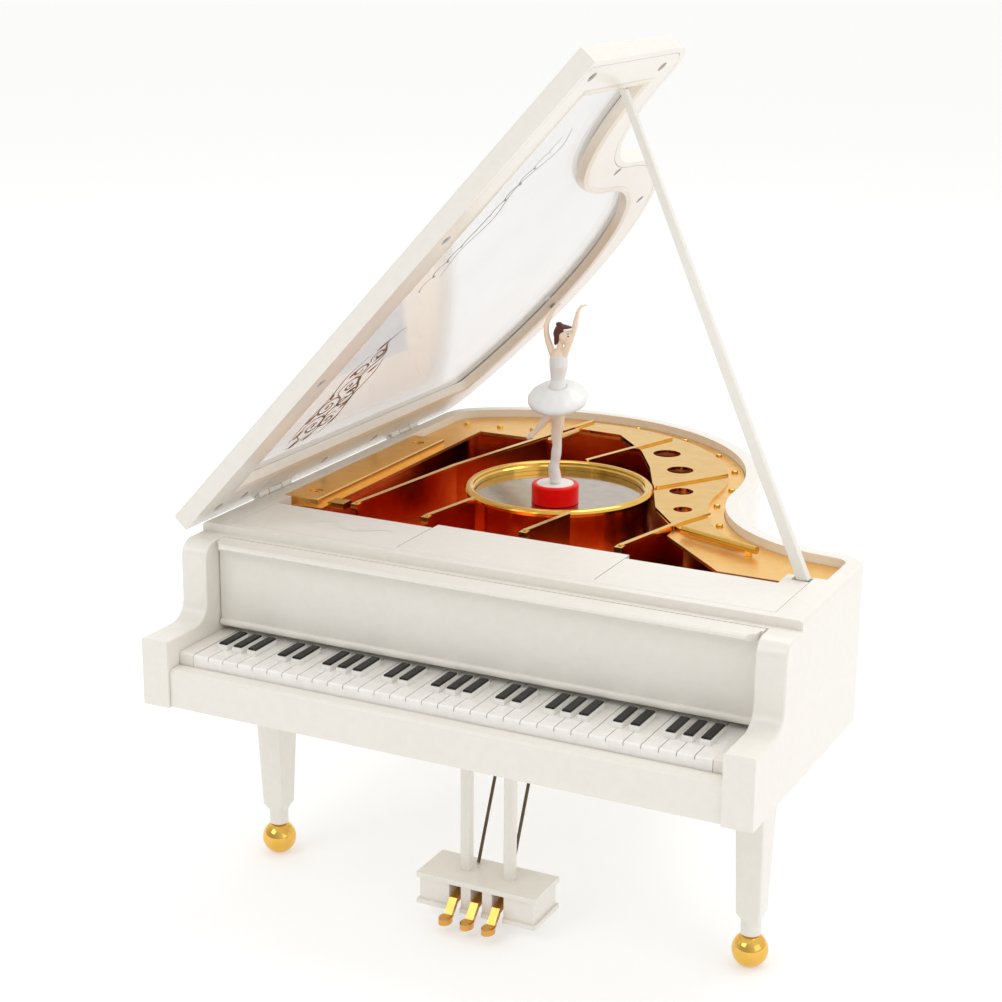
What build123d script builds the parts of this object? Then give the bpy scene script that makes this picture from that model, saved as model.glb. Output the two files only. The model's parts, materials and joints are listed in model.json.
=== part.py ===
"""A toy grand piano that is a music box and a jewellery tray, with a dancer on a mirror stage.

Piano coordinates in millimetres: X to the right, Y from the front of the cheeks to the tail, Z up from the
floor. Every piece is moved to the shared frame when it is written: its origin is on the floor, in the
middle of the open piano's box.
"""
from build123d import *
from math import asin, atan2, cos, degrees, hypot, radians, sin, sqrt
import os

# ---------------------------------------------------------------- driving dimensions
WIDTH = 185.0
HALF = WIDTH / 2
CASE_BOTTOM = 63.0
RIM_TOP = 109.0
WALL = 5.0
GAP = 0.3  # between pieces that move past each other

CHEEK_WIDTH = 8.6
CHEEK_INNER = HALF - CHEEK_WIDTH
ARM_TOP = 83.0
CHEEK_TOP = 106.4
CHEEK_FACE_Y = 20.5
BULKHEAD_Y = 31.4
BULKHEAD_THICK = 2.5
RAIL_FRONT_Y = 32.0
PANEL_FRONT_Y = 35.2
PANEL_REAR_Y = 58.4
SIDE_BLOCK_REAR_Y = 67.0

# plan of the case: a long tail curve, a hollow bentside, and two rounded corners that meet them smoothly
TAIL_CENTRE = (-38.0, 134.0)
BENT_CENTRE = (86.0, 138.0)
BENT_RADIUS = 46.3
TAIL_RADIUS = hypot(BENT_CENTRE[0] - TAIL_CENTRE[0], BENT_CENTRE[1] - TAIL_CENTRE[1]) - BENT_RADIUS
CORNER_RADIUS = 16.0  # left rear
SHOULDER_RADIUS = 9.2  # right rear
DEPTH = TAIL_CENTRE[1] + TAIL_RADIUS

# keyboard
KEYS_HALF = 79.0
WHITE_COUNT = 32
KEY_PITCH = 2 * KEYS_HALF / WHITE_COUNT
KEY_TOP = 78.0
KEY_FRONT_Y = 6.0
KEY_REAR_Y = 31.2
KEYBED_TOP = 68.0
SLIP_TOP = 74.5
BLACK_BLOCK_TOP = 79.6
BLACK_CAP = 0.6
BLACK_FRONT_Y = 13.2
BLACK_REAR_Y = 24.3

# fallboard
FALL_FACE_Y = 27.2
FALL_THICK = 2.2
FALL_BOTTOM = 79.7
FALL_AXIS = (28.2, 81.7)  # y, z
FALL_STOP_BOTTOM = 84.0
LIP_BOTTOM = 104.3
LIP_TOP = 106.3
LIP_FRONT_Y = 22.4

# top panel and music desk
PANEL_THICK = 3.0
DESK_THICK = 1.4
DESK_LEFT, DESK_RIGHT = -29.8, 31.2
DESK_REAR_Y = 61.8
DESK_AXIS = (38.2, RIM_TOP - DESK_THICK / 2)

# gilt interior
TRAY_FLOOR = 97.0
TRAY_TOP = 107.0
TRAY_FRONT_Y = 58.9
SHELF_REAR_Y = 67.5
TAIL_PLATE_TOP = 106.3
HARP_TOP = 107.3
HARP_INSET = 10.5
STRUT_TOP = 107.7
STRUT_WIDTH = 1.6
MIRROR_CENTRE = (-18.5, 121.4)
MIRROR_TOP = 105.0
MIRROR_RADIUS = 26.6
RING_OUTER = 29.9
RING_TOP = 107.9
CUP_OUTER = 28.9
CUP_INNER = 25.6

# lid
LID_HINGE = (-HALF - GAP, RIM_TOP + GAP)  # x, z of the hinge line
LID_ANGLE = 47.55
LID_OVERHANG = 2.2
LID_THICK = 5.5
LID_FRONT_Y = 25.5
LID_ROUND = 0.8
LID_SKIRT = 2.0
FRAME_THICK = 3.0
WINDOW_INSET = 10.0
WINDOW_FRONT_Y = 38.0
HINGE_CENTRES_Y = (70.0, 152.0)
KNUCKLE_RADIUS = 1.5

# lid prop
PROP_FOOT = (81.6, 64.3, RIM_TOP + GAP)
PROP_TIP = (26.4, 60.8, 238.0)
PROP_FOOT_SIZE = (3.6, 2.8)
PROP_TIP_SIZE = (2.2, 2.0)

# legs and lyre
LEG_PLACES = {"left": (-77.5, 46.1), "right": (77.5, 46.1), "tail": (-38.0, 186.0)}
LEG_TOP_SIZE = (9.0, 13.0)
LEG_BOTTOM_SIZE = (7.2, 6.8)
BALL_RADIUS = 5.2
BALL_CENTRE_Z = 4.95
LYRE_HALF = 18.4
LYRE_FRONT_Y, LYRE_REAR_Y = 29.4, 44.0
LYRE_BOTTOM, LYRE_TOP = 4.1, 14.0
POST_X = 7.0
POST_Y = 37.0
POST_SIZE = 3.2
PEDAL_PITCH = 6.9

# musical movement
MODULE = 0.8
WHEEL_TEETH, PINION_TEETH = 36, 12
WHEEL_RADIUS = MODULE * WHEEL_TEETH / 2
PINION_RADIUS = MODULE * PINION_TEETH / 2
WINDING_AXIS = (MIRROR_CENTRE[0] - WHEEL_RADIUS - PINION_RADIUS - 0.15, MIRROR_CENTRE[1])
BED_BOTTOM, BED_TOP = 66.6, 68.8
BARREL_RADIUS = 15.0
WHEEL_BOTTOM, WHEEL_TOP = 81.5, 83.6
CROWN_RADIUS = 12.0
CROWN_HEIGHT = 0.9
CYLINDER_TEETH = 9
CYLINDER_PINION_RADIUS = CROWN_RADIUS * CYLINDER_TEETH / WHEEL_TEETH
CYLINDER_AXIS_Z = WHEEL_TOP + CROWN_HEIGHT / 2 + CYLINDER_PINION_RADIUS
CYLINDER_RADIUS = 6.3
COMB_EDGE_X = WINDING_AXIS[0] + CYLINDER_RADIUS + 1.0
CYLINDER_REAR_Y = WINDING_AXIS[1] - 18.5
CYLINDER_FRONT_Y = WINDING_AXIS[1] - 38.5
END_GEAR_TEETH = 24
END_GEAR_RADIUS = 5.0
END_GEAR_REAR_Y = CYLINDER_FRONT_Y - 4.1
WORM_RADIUS = 1.5
GOVERNOR = (WINDING_AXIS[0] + END_GEAR_RADIUS + WORM_RADIUS + 0.6, END_GEAR_REAR_Y - 0.7)
ARM_BOTTOM, ARM_TOP_Z = 100.2, 101.6
MAGNET_ORBIT = 10.0
DANCER_ANGLE = -72.0
DANCER = (
    MIRROR_CENTRE[0] + MAGNET_ORBIT * cos(radians(DANCER_ANGLE)),
    MIRROR_CENTRE[1] + MAGNET_ORBIT * sin(radians(DANCER_ANGLE)),
)
PEDESTAL_RADIUS = 7.35
PEDESTAL_BOTTOM = MIRROR_TOP + 0.15
PEDESTAL_TOP = 111.2
CAP_RADIUS = 5.8
CAP_THICK = 1.2

# shared frame
LID_LEFT_X = (
    LID_HINGE[0]
    - (LID_OVERHANG - GAP - LID_ROUND) * cos(radians(LID_ANGLE))
    - (LID_THICK - LID_ROUND) * sin(radians(LID_ANGLE))
    - LID_ROUND
)
ORIGIN = ((LID_LEFT_X + HALF) / 2, (DEPTH + LID_OVERHANG) / 2, 0.0)

os.makedirs("parts", exist_ok=True)


def finish(piece, name):
    """Moves a piece to the shared frame, labels it and writes its file."""
    placed = piece.part.moved(Location((-ORIGIN[0], -ORIGIN[1], -ORIGIN[2])))
    placed.label = name
    export_step(placed, f"parts/{name}.step")


def at_z(z):
    return Plane.XY.offset(z)


def around(point, z=0.0):
    """A horizontal plane with its origin above a point of the plan."""
    return Plane(origin=(point[0], point[1], z))


def on_circle(centre, radius, angle):
    return (centre[0] + radius * cos(radians(angle)), centre[1] + radius * sin(radians(angle)))


def circle_arc(centre, radius, start, end):
    """An arc of the current line, between two angles in degrees."""
    middle = (start + end) / 2
    ThreePointArc(*[on_circle(centre, radius, angle) for angle in (start, middle, end)])


def heading(start, end):
    return degrees(atan2(end[1] - start[1], end[0] - start[0]))


def plan_face(inset, front_y):
    """The piano's outline, inset all round and cut straight across at front_y, in the current sketch."""
    left = -HALF + inset
    right = HALF - inset
    tail, bent = TAIL_RADIUS - inset, BENT_RADIUS + inset
    corner, shoulder = CORNER_RADIUS - inset, SHOULDER_RADIUS - inset
    corner_x = -HALF + CORNER_RADIUS
    corner_y = TAIL_CENTRE[1] + sqrt(
        (TAIL_RADIUS - CORNER_RADIUS) ** 2 - (TAIL_CENTRE[0] - corner_x) ** 2
    )
    corner_centre = (corner_x, corner_y)
    shoulder_x = HALF - SHOULDER_RADIUS
    shoulder_y = BENT_CENTRE[1] - sqrt(
        (BENT_RADIUS + SHOULDER_RADIUS) ** 2 - (BENT_CENTRE[0] - shoulder_x) ** 2
    )
    shoulder_centre = (shoulder_x, shoulder_y)
    to_tail = heading(TAIL_CENTRE, corner_centre)
    to_bent = heading(TAIL_CENTRE, BENT_CENTRE)
    if shoulder > 0.5:
        bent_start = heading(BENT_CENTRE, shoulder_centre)
        straight_end = (right, shoulder_centre[1])
    else:
        bent_start = -90 - degrees(asin((BENT_CENTRE[0] - right) / bent))
        straight_end = on_circle(BENT_CENTRE, bent, bent_start)
    left_end = (left, corner_centre[1])
    with BuildLine() as outline:
        Polyline(left_end, (left, front_y), (right, front_y), straight_end)
        if shoulder > 0.5:
            circle_arc(shoulder_centre, shoulder, 0, heading(shoulder_centre, BENT_CENTRE))
        circle_arc(BENT_CENTRE, bent, bent_start, to_bent - 180)
        circle_arc(TAIL_CENTRE, tail, to_bent, to_tail)
        circle_arc(corner_centre, corner, to_tail, 180)
    make_face(outline.edges())


def box_between(low, high, mode=Mode.ADD):
    """A box of the current part between two corners."""
    with BuildSketch(at_z(low[2])) as base:
        with Locations(((low[0] + high[0]) / 2, (low[1] + high[1]) / 2)):
            Rectangle(high[0] - low[0], high[1] - low[1])
    extrude(base.sketch, amount=high[2] - low[2], mode=mode)


def disc(point, radius, bottom, top, mode=Mode.ADD):
    """An upright cylinder of the current part."""
    with BuildSketch(around(point, bottom)) as base:
        Circle(radius)
    extrude(base.sketch, amount=top - bottom, mode=mode)


def rod_along_y(x, z, radius, start_y, end_y, mode=Mode.ADD):
    with BuildSketch(Plane(origin=(x, start_y, z), z_dir=(0, 1, 0))) as base:
        Circle(radius)
    extrude(base.sketch, amount=end_y - start_y, mode=mode)


def rod_along_x(y, z, radius, start_x, end_x, mode=Mode.ADD):
    with BuildSketch(Plane(origin=(start_x, y, z), z_dir=(1, 0, 0))) as base:
        Circle(radius)
    extrude(base.sketch, amount=end_x - start_x, mode=mode)


def strip(points, width, bottom, top, mode=Mode.ADD):
    """An upright strip of even width that follows a polyline of the plan."""
    with BuildSketch(at_z(bottom)) as base:
        for start, end in zip(points[:-1], points[1:]):
            run = hypot(end[0] - start[0], end[1] - start[1])
            middle = ((start[0] + end[0]) / 2, (start[1] + end[1]) / 2, 0)
            with Locations(Location(middle, (0, 0, heading(start, end)))):
                SlotCenterToCenter(run, width)
    extrude(base.sketch, amount=top - bottom, mode=mode)


def gear_face(teeth, pitch_radius, addendum, dedendum, first_tooth):
    """A spur gear's outline with straight-sided teeth, the first one centred on an angle in degrees."""
    pitch = 360 / teeth
    outline = []
    for tooth in range(teeth):
        middle = first_tooth + tooth * pitch
        outline.append(on_circle((0, 0), pitch_radius - dedendum, middle - 0.30 * pitch))
        outline.append(on_circle((0, 0), pitch_radius + addendum, middle - 0.11 * pitch))
        outline.append(on_circle((0, 0), pitch_radius + addendum, middle + 0.11 * pitch))
        outline.append(on_circle((0, 0), pitch_radius - dedendum, middle + 0.30 * pitch))
    Polygon(*outline, align=None)


# ================================================================ case
def cheek_profile():
    """Side view of a cheek, with its arm, its hollow curve and its rounded top."""
    hollow, crown = 6.0, 5.0
    with BuildLine() as outline:
        Polyline(
            (0, CASE_BOTTOM),
            (0, ARM_TOP),
            (CHEEK_FACE_Y - hollow, ARM_TOP),
        )
        ThreePointArc(
            (CHEEK_FACE_Y - hollow, ARM_TOP),
            on_circle((CHEEK_FACE_Y - hollow, ARM_TOP + hollow), hollow, -45),
            (CHEEK_FACE_Y, ARM_TOP + hollow),
        )
        Line((CHEEK_FACE_Y, ARM_TOP + hollow), (CHEEK_FACE_Y, CHEEK_TOP - crown))
        ThreePointArc(
            (CHEEK_FACE_Y, CHEEK_TOP - crown),
            on_circle((CHEEK_FACE_Y + crown, CHEEK_TOP - crown), crown, 135),
            (CHEEK_FACE_Y + crown, CHEEK_TOP),
        )
        Polyline(
            (CHEEK_FACE_Y + crown, CHEEK_TOP),
            (RAIL_FRONT_Y, CHEEK_TOP),
            (RAIL_FRONT_Y, CASE_BOTTOM),
            (0, CASE_BOTTOM),
        )
    make_face(outline.edges())


def knuckle_pocket(y_low, y_high, mode=Mode.SUBTRACT):
    rod_along_y(LID_HINGE[0], LID_HINGE[1], KNUCKLE_RADIUS + 0.5, y_low, y_high, mode)


HINGE_HALF = 9.0
CASE_KNUCKLE_HALF = 3.5

with BuildPart() as case_shell:
    with BuildSketch(at_z(CASE_BOTTOM)):
        plan_face(0, RAIL_FRONT_Y)
    extrude(amount=RIM_TOP - CASE_BOTTOM)
    top_edges = case_shell.edges().group_by(Axis.Z)[-1]
    fillet(top_edges.filter_by(lambda edge: edge.center().Y > RAIL_FRONT_Y + 1), 1.2)
    with BuildSketch(at_z(CASE_BOTTOM)):
        plan_face(WALL, SIDE_BLOCK_REAR_Y)
    extrude(amount=RIM_TOP - CASE_BOTTOM, mode=Mode.SUBTRACT)
    box_between(
        (-CHEEK_INNER, PANEL_FRONT_Y, CASE_BOTTOM),
        (CHEEK_INNER, SIDE_BLOCK_REAR_Y, RIM_TOP),
        Mode.SUBTRACT,
    )
    box_between(
        (-CHEEK_INNER, BULKHEAD_Y + BULKHEAD_THICK, CASE_BOTTOM),
        (CHEEK_INNER, PANEL_FRONT_Y, RIM_TOP - PANEL_THICK),
        Mode.SUBTRACT,
    )
    box_between((-CHEEK_INNER, BULKHEAD_Y, CASE_BOTTOM), (CHEEK_INNER, RAIL_FRONT_Y, CHEEK_TOP))
    box_between(
        (-CHEEK_INNER, FALL_FACE_Y + FALL_THICK + GAP, FALL_STOP_BOTTOM),
        (CHEEK_INNER, RAIL_FRONT_Y, CHEEK_TOP),
    )
    for side in (-1, 1):
        with BuildSketch(Plane(origin=(side * CHEEK_INNER, 0, 0), x_dir=(0, 1, 0), z_dir=(1, 0, 0))):
            cheek_profile()
        extrude(amount=side * CHEEK_WIDTH)
    box_between((-CHEEK_INNER, 5.0, CASE_BOTTOM), (CHEEK_INNER, BULKHEAD_Y, KEYBED_TOP))
    for side in (-1, 1):
        rod_along_x(*FALL_AXIS, 0.95, side * (CHEEK_INNER + 4.0), side * (CHEEK_INNER - 1.0), Mode.SUBTRACT)
    for centre_y in HINGE_CENTRES_Y:
        knuckle_pocket(centre_y - HINGE_HALF - 0.5, centre_y + HINGE_HALF + 0.5)
        box_between(
            (-HALF - 1.0, centre_y - CASE_KNUCKLE_HALF, RIM_TOP - 8.0),
            (-HALF + 0.8, centre_y + CASE_KNUCKLE_HALF, RIM_TOP),
            Mode.SUBTRACT,
        )
    arm_edges = (
        case_shell.edges()
        .filter_by(Axis.Y)
        .filter_by(lambda edge: abs(edge.center().Z - ARM_TOP) < 0.1 and edge.center().Y < CHEEK_FACE_Y)
    )
    fillet(arm_edges, 0.6)
finish(case_shell, "case_shell")

with BuildPart() as key_slip:
    with BuildSketch(Plane(origin=(-CHEEK_INNER + 0.1, 0, 0), x_dir=(0, 1, 0), z_dir=(1, 0, 0))):
        with BuildLine():
            Polyline((0.9, CASE_BOTTOM + 0.2), (0.9, SLIP_TOP - 0.9), (1.8, SLIP_TOP), (5.7, SLIP_TOP))
            Polyline((5.7, SLIP_TOP), (5.7, KEYBED_TOP + 0.1), (4.9, KEYBED_TOP + 0.1))
            Polyline((4.9, KEYBED_TOP + 0.1), (4.9, CASE_BOTTOM + 0.2), (0.9, CASE_BOTTOM + 0.2))
        make_face()
    extrude(amount=2 * CHEEK_INNER - 0.2)
finish(key_slip, "key_slip")

with BuildPart() as end_blocks:
    for side in (-1, 1):
        x_low, x_high = sorted((side * (KEYS_HALF + 0.15), side * (CHEEK_INNER - 0.1)))
        box_between((x_low, KEY_FRONT_Y, KEYBED_TOP), (x_high, KEY_REAR_Y, KEY_TOP + 0.3))
    chamfer(end_blocks.edges().group_by(Axis.Z)[-1].filter_by(Axis.X), 0.5)
finish(end_blocks, "keyboard_end_blocks")


def black_key_places():
    """Middles of the black keys. The lowest white key is an F."""
    has_black = {"F": True, "G": True, "A": True, "B": False, "C": True, "D": True, "E": False}
    names = "FGABCDE"
    for key in range(WHITE_COUNT - 1):
        if has_black[names[key % len(names)]]:
            yield -KEYS_HALF + (key + 1) * KEY_PITCH


BLACK_WIDTH = 2.9
KEY_GROOVE = 0.3

with BuildPart() as white_keys:
    box_between((-KEYS_HALF, KEY_FRONT_Y, KEYBED_TOP), (KEYS_HALF, KEY_REAR_Y, KEY_TOP))
    chamfer(white_keys.edges().group_by(Axis.Z)[-1].group_by(Axis.Y)[0], 0.4)
    for key in range(1, WHITE_COUNT):
        x = -KEYS_HALF + key * KEY_PITCH
        box_between(
            (x - KEY_GROOVE / 2, KEY_FRONT_Y - 1, KEY_TOP - 1.2),
            (x + KEY_GROOVE / 2, KEY_REAR_Y + 1, KEY_TOP + 1),
            Mode.SUBTRACT,
        )
    for x in black_key_places():
        box_between(
            (x - BLACK_WIDTH / 2, BLACK_FRONT_Y, KEY_TOP - 1.2),
            (x + BLACK_WIDTH / 2, BLACK_REAR_Y, BLACK_BLOCK_TOP),
        )
finish(white_keys, "white_keys")

with BuildPart() as black_key_caps:
    for x in black_key_places():
        box_between(
            (x - BLACK_WIDTH / 2 + 0.15, BLACK_FRONT_Y + 0.5, BLACK_BLOCK_TOP),
            (x + BLACK_WIDTH / 2 - 0.15, BLACK_REAR_Y, BLACK_BLOCK_TOP + BLACK_CAP),
        )
    chamfer(black_key_caps.faces().filter_by(Axis.Z).group_by(Axis.Z)[-1].edges(), 0.2)
finish(black_key_caps, "black_key_caps")

# ---------------------------------------------------------------- fallboard
FALL_HALF = CHEEK_INNER - GAP
LIP_HALF = FALL_HALF - 0.8
LIP_BEVEL = 2.6

with BuildPart() as fallboard:
    box_between(
        (-FALL_HALF, FALL_FACE_Y, FALL_BOTTOM + 1.0),
        (FALL_HALF, FALL_FACE_Y + FALL_THICK, LIP_TOP),
    )
    with BuildSketch(Plane(origin=(-FALL_HALF, 0, 0), x_dir=(0, 1, 0), z_dir=(1, 0, 0))):
        with Locations((FALL_FACE_Y + 0.35, FALL_BOTTOM + 1.25)):
            Circle(1.2)
    extrude(amount=2 * FALL_HALF)
    with BuildSketch(Plane(origin=(-LIP_HALF, 0, 0), x_dir=(0, 1, 0), z_dir=(1, 0, 0))):
        with BuildLine():
            Polyline(
                (FALL_FACE_Y + 0.5, LIP_BOTTOM),
                (LIP_FRONT_Y + 0.9, LIP_BOTTOM),
                (LIP_FRONT_Y, LIP_BOTTOM + 0.8),
                (LIP_FRONT_Y, LIP_TOP - 0.5),
                (LIP_FRONT_Y + 0.7, LIP_TOP),
                (FALL_FACE_Y + 0.5, LIP_TOP),
                (FALL_FACE_Y + 0.5, LIP_BOTTOM),
            )
        make_face()
    extrude(amount=2 * LIP_HALF)
    with BuildSketch(at_z(LIP_BOTTOM - 0.5)):
        for side in (-1, 1):
            Polygon(
                (side * (LIP_HALF + 1), LIP_FRONT_Y - 1),
                (side * (LIP_HALF - LIP_BEVEL - 0.6), LIP_FRONT_Y - 1),
                (side * (LIP_HALF + 1), LIP_FRONT_Y + LIP_BEVEL + 1.4),
                align=None,
            )
    extrude(amount=LIP_TOP - LIP_BOTTOM + 1, mode=Mode.SUBTRACT)
    for side in (-1, 1):
        rod_along_x(*FALL_AXIS, 0.75, side * (FALL_HALF + 1.0), side * (FALL_HALF - 4.0), Mode.SUBTRACT)
finish(fallboard, "fallboard")

with BuildPart() as fallboard_pins:
    for side in (-1, 1):
        rod_along_x(*FALL_AXIS, 0.7, side * (FALL_HALF - 3.9), side * (CHEEK_INNER + 3.7))
        rod_along_x(*FALL_AXIS, 0.9, side * (CHEEK_INNER + 0.1), side * (CHEEK_INNER + 3.7))
finish(fallboard_pins, "fallboard_pins")

# ---------------------------------------------------------------- top panel and music desk
SLOT_SIZE = (6.0, 3.4)

with BuildPart() as top_panel:
    box_between(
        (-CHEEK_INNER + 0.15, PANEL_FRONT_Y + 0.15, RIM_TOP - PANEL_THICK),
        (CHEEK_INNER - 0.15, PANEL_REAR_Y, RIM_TOP),
    )
    box_between(
        (76.4, PANEL_REAR_Y - 1, RIM_TOP - PANEL_THICK),
        (CHEEK_INNER - 0.15, SIDE_BLOCK_REAR_Y - 0.2, RIM_TOP),
    )
    box_between(
        (DESK_LEFT - 1.5, PANEL_REAR_Y - 1, RIM_TOP - PANEL_THICK),
        (DESK_RIGHT + 1.5, DESK_REAR_Y - 0.3, RIM_TOP - DESK_THICK - 0.3),
    )
    box_between(
        (DESK_LEFT - GAP, DESK_AXIS[0] - DESK_THICK / 2 - GAP, RIM_TOP - DESK_THICK - GAP),
        (DESK_RIGHT + GAP, DESK_REAR_Y + 1, RIM_TOP + 1),
        Mode.SUBTRACT,
    )
    with BuildSketch(around(PROP_FOOT, RIM_TOP - 1.5)):
        Rectangle(*SLOT_SIZE)
    extrude(amount=2.0, mode=Mode.SUBTRACT)
    rod_along_x(*DESK_AXIS, 0.5, DESK_LEFT - 2.5, DESK_RIGHT + 2.5, Mode.SUBTRACT)
finish(top_panel, "top_panel")

with BuildPart() as music_desk:
    box_between((DESK_LEFT, DESK_AXIS[0], RIM_TOP - DESK_THICK), (DESK_RIGHT, DESK_REAR_Y, RIM_TOP))
    rod_along_x(*DESK_AXIS, DESK_THICK / 2, DESK_LEFT, DESK_RIGHT)
    for x_start, x_end in ((DESK_LEFT - 1, DESK_LEFT + 3), (DESK_RIGHT + 1, DESK_RIGHT - 3)):
        rod_along_x(*DESK_AXIS, 0.45, x_start, x_end, Mode.SUBTRACT)
finish(music_desk, "music_desk")

with BuildPart() as desk_pins:
    for x_start, x_end in ((DESK_LEFT - 2.4, DESK_LEFT + 2.8), (DESK_RIGHT + 2.4, DESK_RIGHT - 2.8)):
        rod_along_x(*DESK_AXIS, 0.41, x_start, x_end)
finish(desk_pins, "desk_pins")

# ---------------------------------------------------------------- underside
GRILLE_CENTRE = (20.0, 100.0)
STOP_CENTRE = (GOVERNOR[0] + 5.0, GOVERNOR[1] - 11.0)
STOP_TRAVEL = 4.0
BOTTOM_SCREWS = ((-80.0, 62.0), (80.0, 62.0), (-80.0, 165.0), (25.0, 165.0), (-60.0, 196.0), (0.0, 44.0))

with BuildPart() as bottom_plate:
    with BuildSketch(at_z(CASE_BOTTOM)):
        plan_face(WALL + 0.15, SIDE_BLOCK_REAR_Y + 0.2)
    extrude(amount=2.0)
    box_between(
        (-CHEEK_INNER + 0.15, BULKHEAD_Y + BULKHEAD_THICK + 0.15, CASE_BOTTOM),
        (CHEEK_INNER - 0.15, SIDE_BLOCK_REAR_Y + 1.0, CASE_BOTTOM + 2.0),
    )
    disc(WINDING_AXIS, 3.0, CASE_BOTTOM - 1, CASE_BOTTOM + 3, Mode.SUBTRACT)
    with BuildSketch(around(GRILLE_CENTRE, CASE_BOTTOM)):
        with GridLocations(0, 5.0, 1, 5):
            SlotOverall(26.0, 2.0)
    extrude(amount=3.0, mode=Mode.SUBTRACT)
    with BuildSketch(around(STOP_CENTRE, CASE_BOTTOM)):
        SlotOverall(STOP_TRAVEL + 5.0, 3.4)
    extrude(amount=3.0, mode=Mode.SUBTRACT)
    with BuildSketch(at_z(CASE_BOTTOM)):
        with Locations(*BOTTOM_SCREWS):
            Circle(1.1)
    extrude(amount=3.0, mode=Mode.SUBTRACT)
finish(bottom_plate, "bottom_plate")

with BuildPart() as bottom_screws:
    for place in BOTTOM_SCREWS:
        disc(place, 2.0, CASE_BOTTOM - 0.9, CASE_BOTTOM)
        disc(place, 1.0, CASE_BOTTOM, CASE_BOTTOM + 6.0)
finish(bottom_screws, "bottom_screws")


def leg(place):
    with BuildPart() as made:
        with BuildSketch(around(place, 16.5)):
            RectangleRounded(*LEG_BOTTOM_SIZE, 0.6)
        with BuildSketch(around(place, CASE_BOTTOM - 0.02)):
            RectangleRounded(*LEG_TOP_SIZE, 0.6)
        loft()
        with BuildSketch(around(place, 14.2)):
            Circle(2.9)
        with BuildSketch(around(place, 16.5)):
            RectangleRounded(LEG_BOTTOM_SIZE[0] - 0.05, LEG_BOTTOM_SIZE[1] - 0.05, 0.6)
        loft()
        disc(place, 2.9, 10.0, 14.3)
        disc(place, 1.5, 6.5, 10.1)
    return made


for side, place in LEG_PLACES.items():
    finish(leg(place), f"leg_{side}")

with BuildPart() as foot_balls:
    for place in LEG_PLACES.values():
        with Locations((*place, BALL_CENTRE_Z)):
            Sphere(BALL_RADIUS)
        disc(place, BALL_RADIUS + 1, -2.0, 0.0, Mode.SUBTRACT)
        disc(place, BALL_RADIUS + 1, 9.9, 12.0, Mode.SUBTRACT)
        disc(place, 1.6, 6.3, 12.0, Mode.SUBTRACT)
finish(foot_balls, "foot_balls")

# ---------------------------------------------------------------- lyre
LEDGE = 0.8
PEDAL_SLOT = 3.8
PEDAL_WIDTH = 2.4

with BuildPart() as pedal_box:
    box_between((-LYRE_HALF, LYRE_FRONT_Y, LYRE_BOTTOM), (LYRE_HALF, LYRE_REAR_Y, LYRE_TOP))
    for low, high in ((LYRE_BOTTOM, LYRE_BOTTOM + 1.4), (LYRE_TOP - 1.6, LYRE_TOP)):
        box_between(
            (-LYRE_HALF - LEDGE, LYRE_FRONT_Y - LEDGE, low),
            (LYRE_HALF + LEDGE, LYRE_REAR_Y + LEDGE, high),
        )
    for step in (-1, 0, 1):
        x = step * PEDAL_PITCH
        box_between(
            (x - PEDAL_SLOT / 2, LYRE_FRONT_Y - 2, LYRE_BOTTOM - 1),
            (x + PEDAL_SLOT / 2, LYRE_FRONT_Y + 7.0, LYRE_TOP - 1.8),
            Mode.SUBTRACT,
        )
finish(pedal_box, "pedal_box")

with BuildPart() as lyre_posts:
    for side in (-1, 1):
        with BuildSketch(around((side * POST_X, POST_Y), LYRE_TOP)):
            RectangleRounded(POST_SIZE, POST_SIZE, 0.7)
        extrude(amount=CASE_BOTTOM - LYRE_TOP)
finish(lyre_posts, "lyre_posts")

ROD_FOOT = (5.5, 41.5, LYRE_TOP)
ROD_HEAD = (5.5, 63.0, CASE_BOTTOM)

with BuildPart() as lyre_rods:
    for side in (-1, 1):
        foot = Vector(side * ROD_FOOT[0], ROD_FOOT[1], ROD_FOOT[2] + 0.3)
        head = Vector(side * ROD_HEAD[0], ROD_HEAD[1], ROD_HEAD[2] - 0.3)
        with BuildSketch(Plane(origin=foot, z_dir=head - foot)):
            Circle(0.5)
        extrude(amount=(head - foot).length)
finish(lyre_rods, "lyre_rods")

PEDAL_REAR_Y = LYRE_FRONT_Y + 6.8
PEDAL_TIP_Y = 22.6

# each pedal lever slopes down out of the box to a rounded, flattened tip
with BuildPart() as pedals:
    for step in (-1, 0, 1):
        x = step * PEDAL_PITCH
        lever_side = Plane(origin=(x - PEDAL_WIDTH / 2, 0, 0), x_dir=(0, 1, 0), z_dir=(1, 0, 0))
        with BuildSketch(lever_side) as lever:
            with BuildLine():
                Polyline(
                    (PEDAL_REAR_Y, 10.2),
                    (LYRE_FRONT_Y - 1.0, 8.6),
                    (PEDAL_TIP_Y + 2.4, 4.9),
                    (PEDAL_TIP_Y, 4.6),
                    (PEDAL_TIP_Y, 3.2),
                    (PEDAL_TIP_Y + 3.0, 3.2),
                    (LYRE_FRONT_Y - 0.4, 7.0),
                    (PEDAL_REAR_Y, 8.6),
                    (PEDAL_REAR_Y, 10.2),
                )
            make_face()
        extrude(lever.sketch, amount=PEDAL_WIDTH)
        with BuildSketch(around((x, PEDAL_TIP_Y + 1.0), 3.0)) as tip:
            Ellipse(1.9, 2.6)
        extrude(tip.sketch, amount=1.7)
finish(pedals, "pedals")


# ================================================================ gilt interior
# the opening in the plates, from the front left corner round to the front right
OPENING = (
    (-73.5, SHELF_REAR_Y),
    (-73.5, 174.0),
    (-45.0, 174.5),
    (-43.0, 190.5),
    (-27.0, 189.5),
    (-12.0, 173.1),
    (-1.8, 155.8),
    (8.5, 134.0),
    (17.4, 114.3),
    (30.0, 98.0),
    (30.5, 91.7),
    (55.5, SHELF_REAR_Y),
)

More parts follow.
